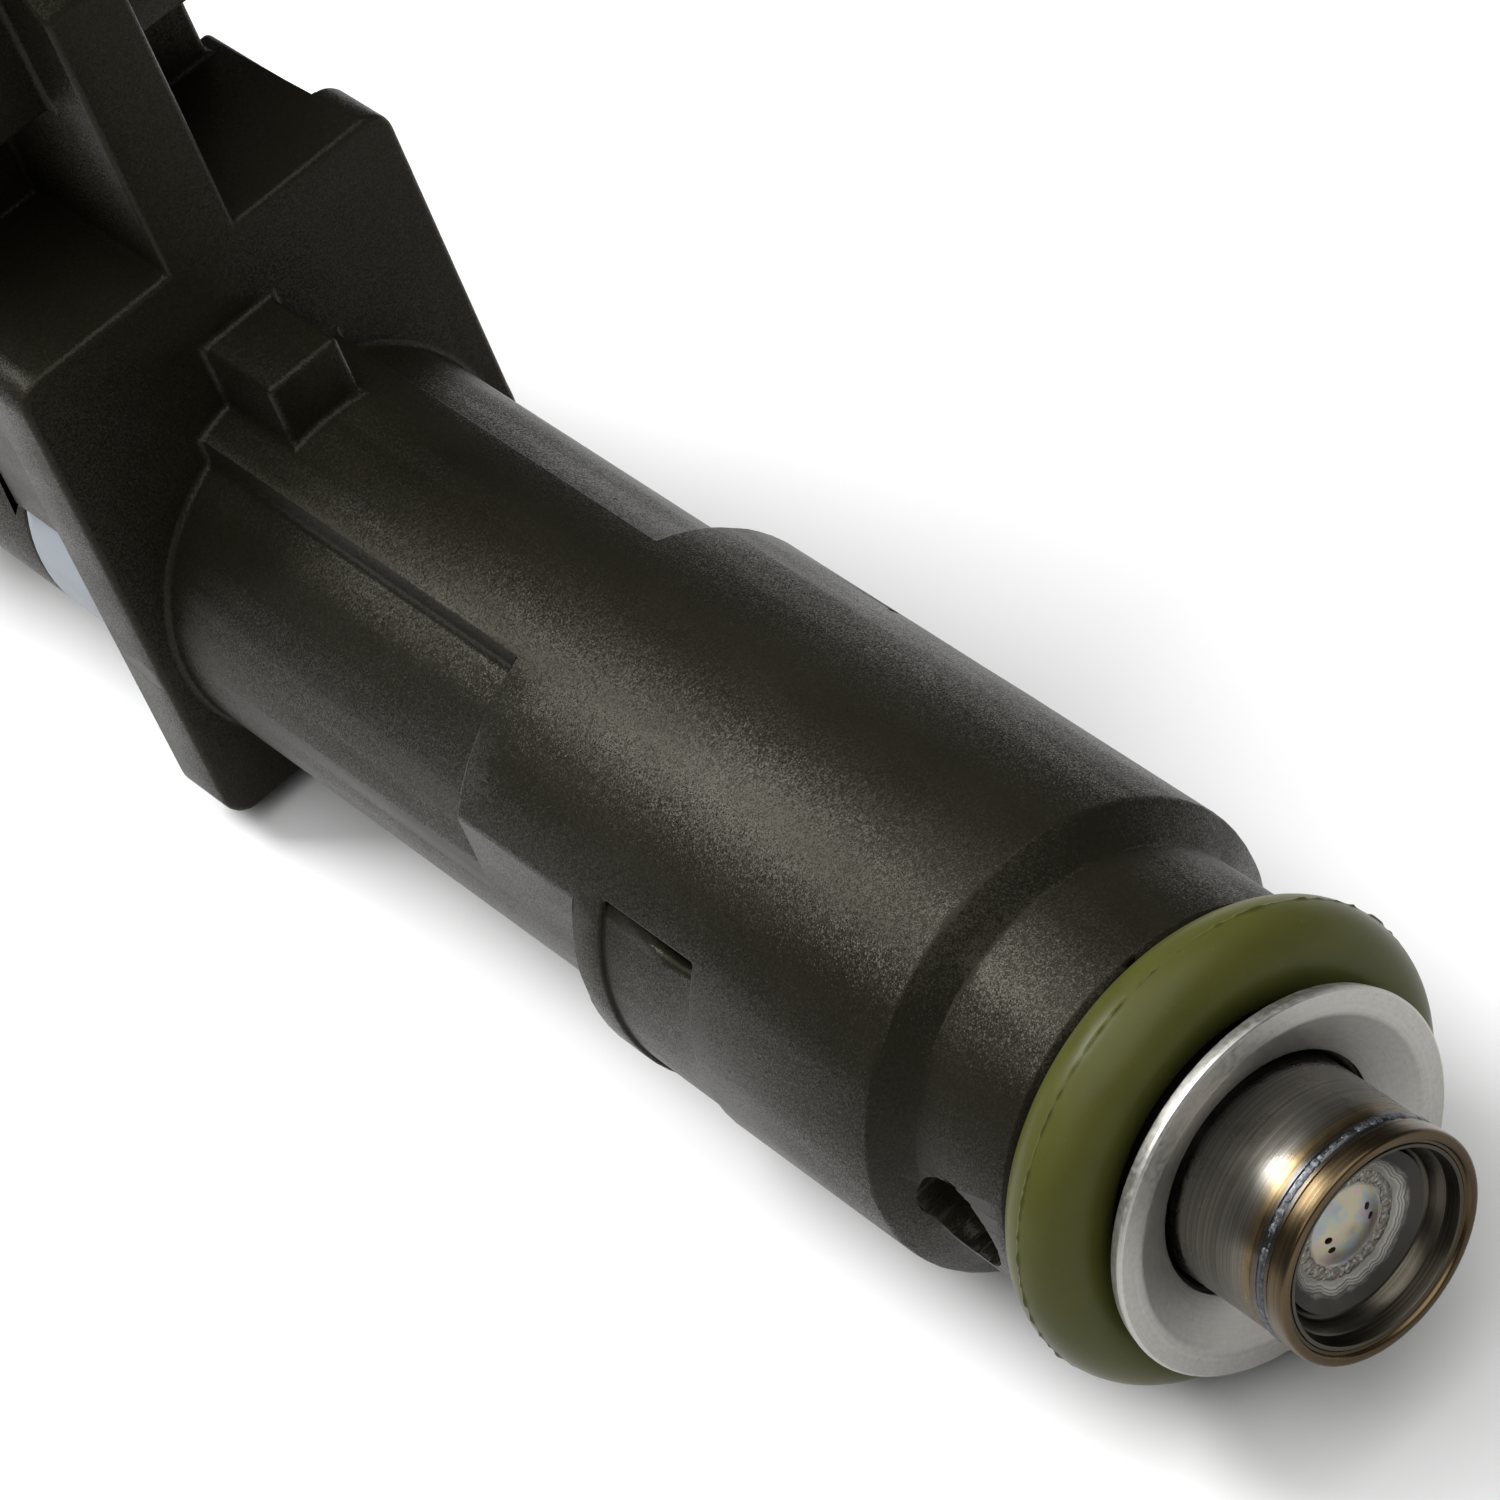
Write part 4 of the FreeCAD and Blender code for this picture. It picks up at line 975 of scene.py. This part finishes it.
class INJECTOR_OT_internals(bpy.types.Operator):
    """Copper winding, and the finishes of the pieces inside"""

    bl_idname = "injector.internals"
    bl_label = "Inside pieces"

    def execute(self, context):
        outline = winding_outline(context.scene.injector_shape.turns)
        winding = turned("copper_winding", outline, steps=72)
        new_piece("copper_winding", winding, "copper", "coil_winding")
        finishes = {
            "plain_tube": ("non_magnetic_sleeve",),
            "guide": ("ball_guide", "armature_stem", "adjusting_tube"),
            "magnetic": ("armature_core", "pole_piece", "coil_can", "flux_washer"),
            "ball": ("valve_ball",),
            "spring": ("return_spring",),
            "bobbin": ("coil_bobbin",),
            "filter": ("filter_frame",),
            "terminal": ("terminal_left", "terminal_right"),
        }
        for material, nodes in finishes.items():
            for node in nodes:
                for slot in NODES[node].material_slots:
                    slot.material = MATERIALS[material]
        return {"FINISHED"}


def new_floor(level):
    """A plain sheet for the injector to stand on, at a height in metres."""
    reach = 2.0
    corners = [(-reach, -reach, level), (reach, -reach, level), (reach, reach, level), (-reach, reach, level)]
    mesh = bpy.data.meshes.new("floor")
    mesh.from_pydata(corners, [], [(0, 1, 2, 3)])
    mesh.materials.append(finish("floor_paper", (0.6, 0.6, 0.6), 0.9))
    floor = bpy.data.objects.new("floor", mesh)
    bpy.context.scene.collection.objects.link(floor)


def new_light(name, spot, side, power):
    """A square soft light that points at the middle of the barrel."""
    target = Vector((0.0, 0.02, 0.0))
    lamp = bpy.data.lights.new(name, "AREA")
    lamp.shape = "SQUARE"
    lamp.size = side
    lamp.energy = power
    light = bpy.data.objects.new(name, lamp)
    light.location = spot
    light.rotation_euler = (target - Vector(spot)).to_track_quat("-Z", "Y").to_euler()
    bpy.context.scene.collection.objects.link(light)


def new_world(strength):
    """Even white light from all round."""
    world = bpy.data.worlds.new("room")
    world.use_nodes = True
    background = world.node_tree.nodes["Background"]
    background.inputs["Color"].default_value = (1.0, 1.0, 1.0, 1.0)
    background.inputs["Strength"].default_value = strength
    bpy.context.scene.world = world


def new_camera(lens, spot, turn):
    """The scene's camera, with the small shift that frames the injector off centre."""
    data = bpy.data.cameras.new("camera")
    data.sensor_width = 36.0
    data.lens = lens
    data.shift_x = 0.0203
    data.shift_y = -0.0327
    data.clip_start = 0.005
    data.clip_end = 20.0
    camera = bpy.data.objects.new("camera", data)
    camera.location = spot
    camera.rotation_euler = Euler(turn)
    bpy.context.scene.collection.objects.link(camera)
    bpy.context.scene.camera = camera


class INJECTOR_OT_stage(bpy.types.Operator):
    """Pale floor, soft lights and the camera"""

    bl_idname = "injector.stage"
    bl_label = "Stage"

    def execute(self, context):
        stage = context.scene.injector_stage
        context.scene.view_settings.view_transform = "Standard"
        new_floor(CAD_BOX[0][2])
        new_light("top_light", (-0.1, -0.1, 0.7), 1.0, stage.top_power)
        new_light("key_light", (-0.118, 0.35, 0.37), 0.2, stage.key_power)
        new_world(stage.room_light)
        new_camera(stage.lens, stage.camera_place, stage.camera_turn)
        return {"FINISHED"}


class INJECTOR_PT_panel(bpy.types.Panel):
    """Sizes, colours and build steps of the injector"""

    bl_idname = "INJECTOR_PT_panel"
    bl_label = "Fuel injector"
    bl_space_type = "VIEW_3D"
    bl_region_type = "UI"
    bl_category = "Injector"

    def draw(self, context):
        scene = context.scene
        for group in (scene.injector_shape, scene.injector_finish, scene.injector_stage):
            box = self.layout.box()
            for name in group.__annotations__:
                box.prop(group, name)
        for operator in OPERATORS:
            self.layout.operator(operator.bl_idname)


OPERATORS = (INJECTOR_OT_housing, INJECTOR_OT_nozzle, INJECTOR_OT_seat, INJECTOR_OT_seals,
             INJECTOR_OT_retainer, INJECTOR_OT_inlet, INJECTOR_OT_internals, INJECTOR_OT_stage)
GROUPS = {
    "injector_shape": InjectorShape,
    "injector_finish": InjectorFinish,
    "injector_stage": InjectorStage,
}


def register():
    """Adds the sizes, colours, operators and panel to Blender."""
    for group in GROUPS.values():
        bpy.utils.register_class(group)
    for name, group in GROUPS.items():
        setattr(bpy.types.Scene, name, PointerProperty(type=group))
    for operator in OPERATORS:
        bpy.utils.register_class(operator)
    bpy.utils.register_class(INJECTOR_PT_panel)


def unregister():
    """Takes them away again, in the opposite order."""
    bpy.utils.unregister_class(INJECTOR_PT_panel)
    for operator in reversed(OPERATORS):
        bpy.utils.unregister_class(operator)
    for name in GROUPS:
        delattr(bpy.types.Scene, name)
    for group in GROUPS.values():
        bpy.utils.unregister_class(group)


def main():
    """Builds every piece and the stage."""
    register()
    MATERIALS.update(make_materials(bpy.context.scene.injector_finish))
    bpy.ops.injector.housing()
    bpy.ops.injector.nozzle()
    bpy.ops.injector.seat()
    bpy.ops.injector.seals()
    bpy.ops.injector.retainer()
    bpy.ops.injector.inlet()
    bpy.ops.injector.internals()
    bpy.ops.injector.stage()


if __name__ == "__main__":
    main()
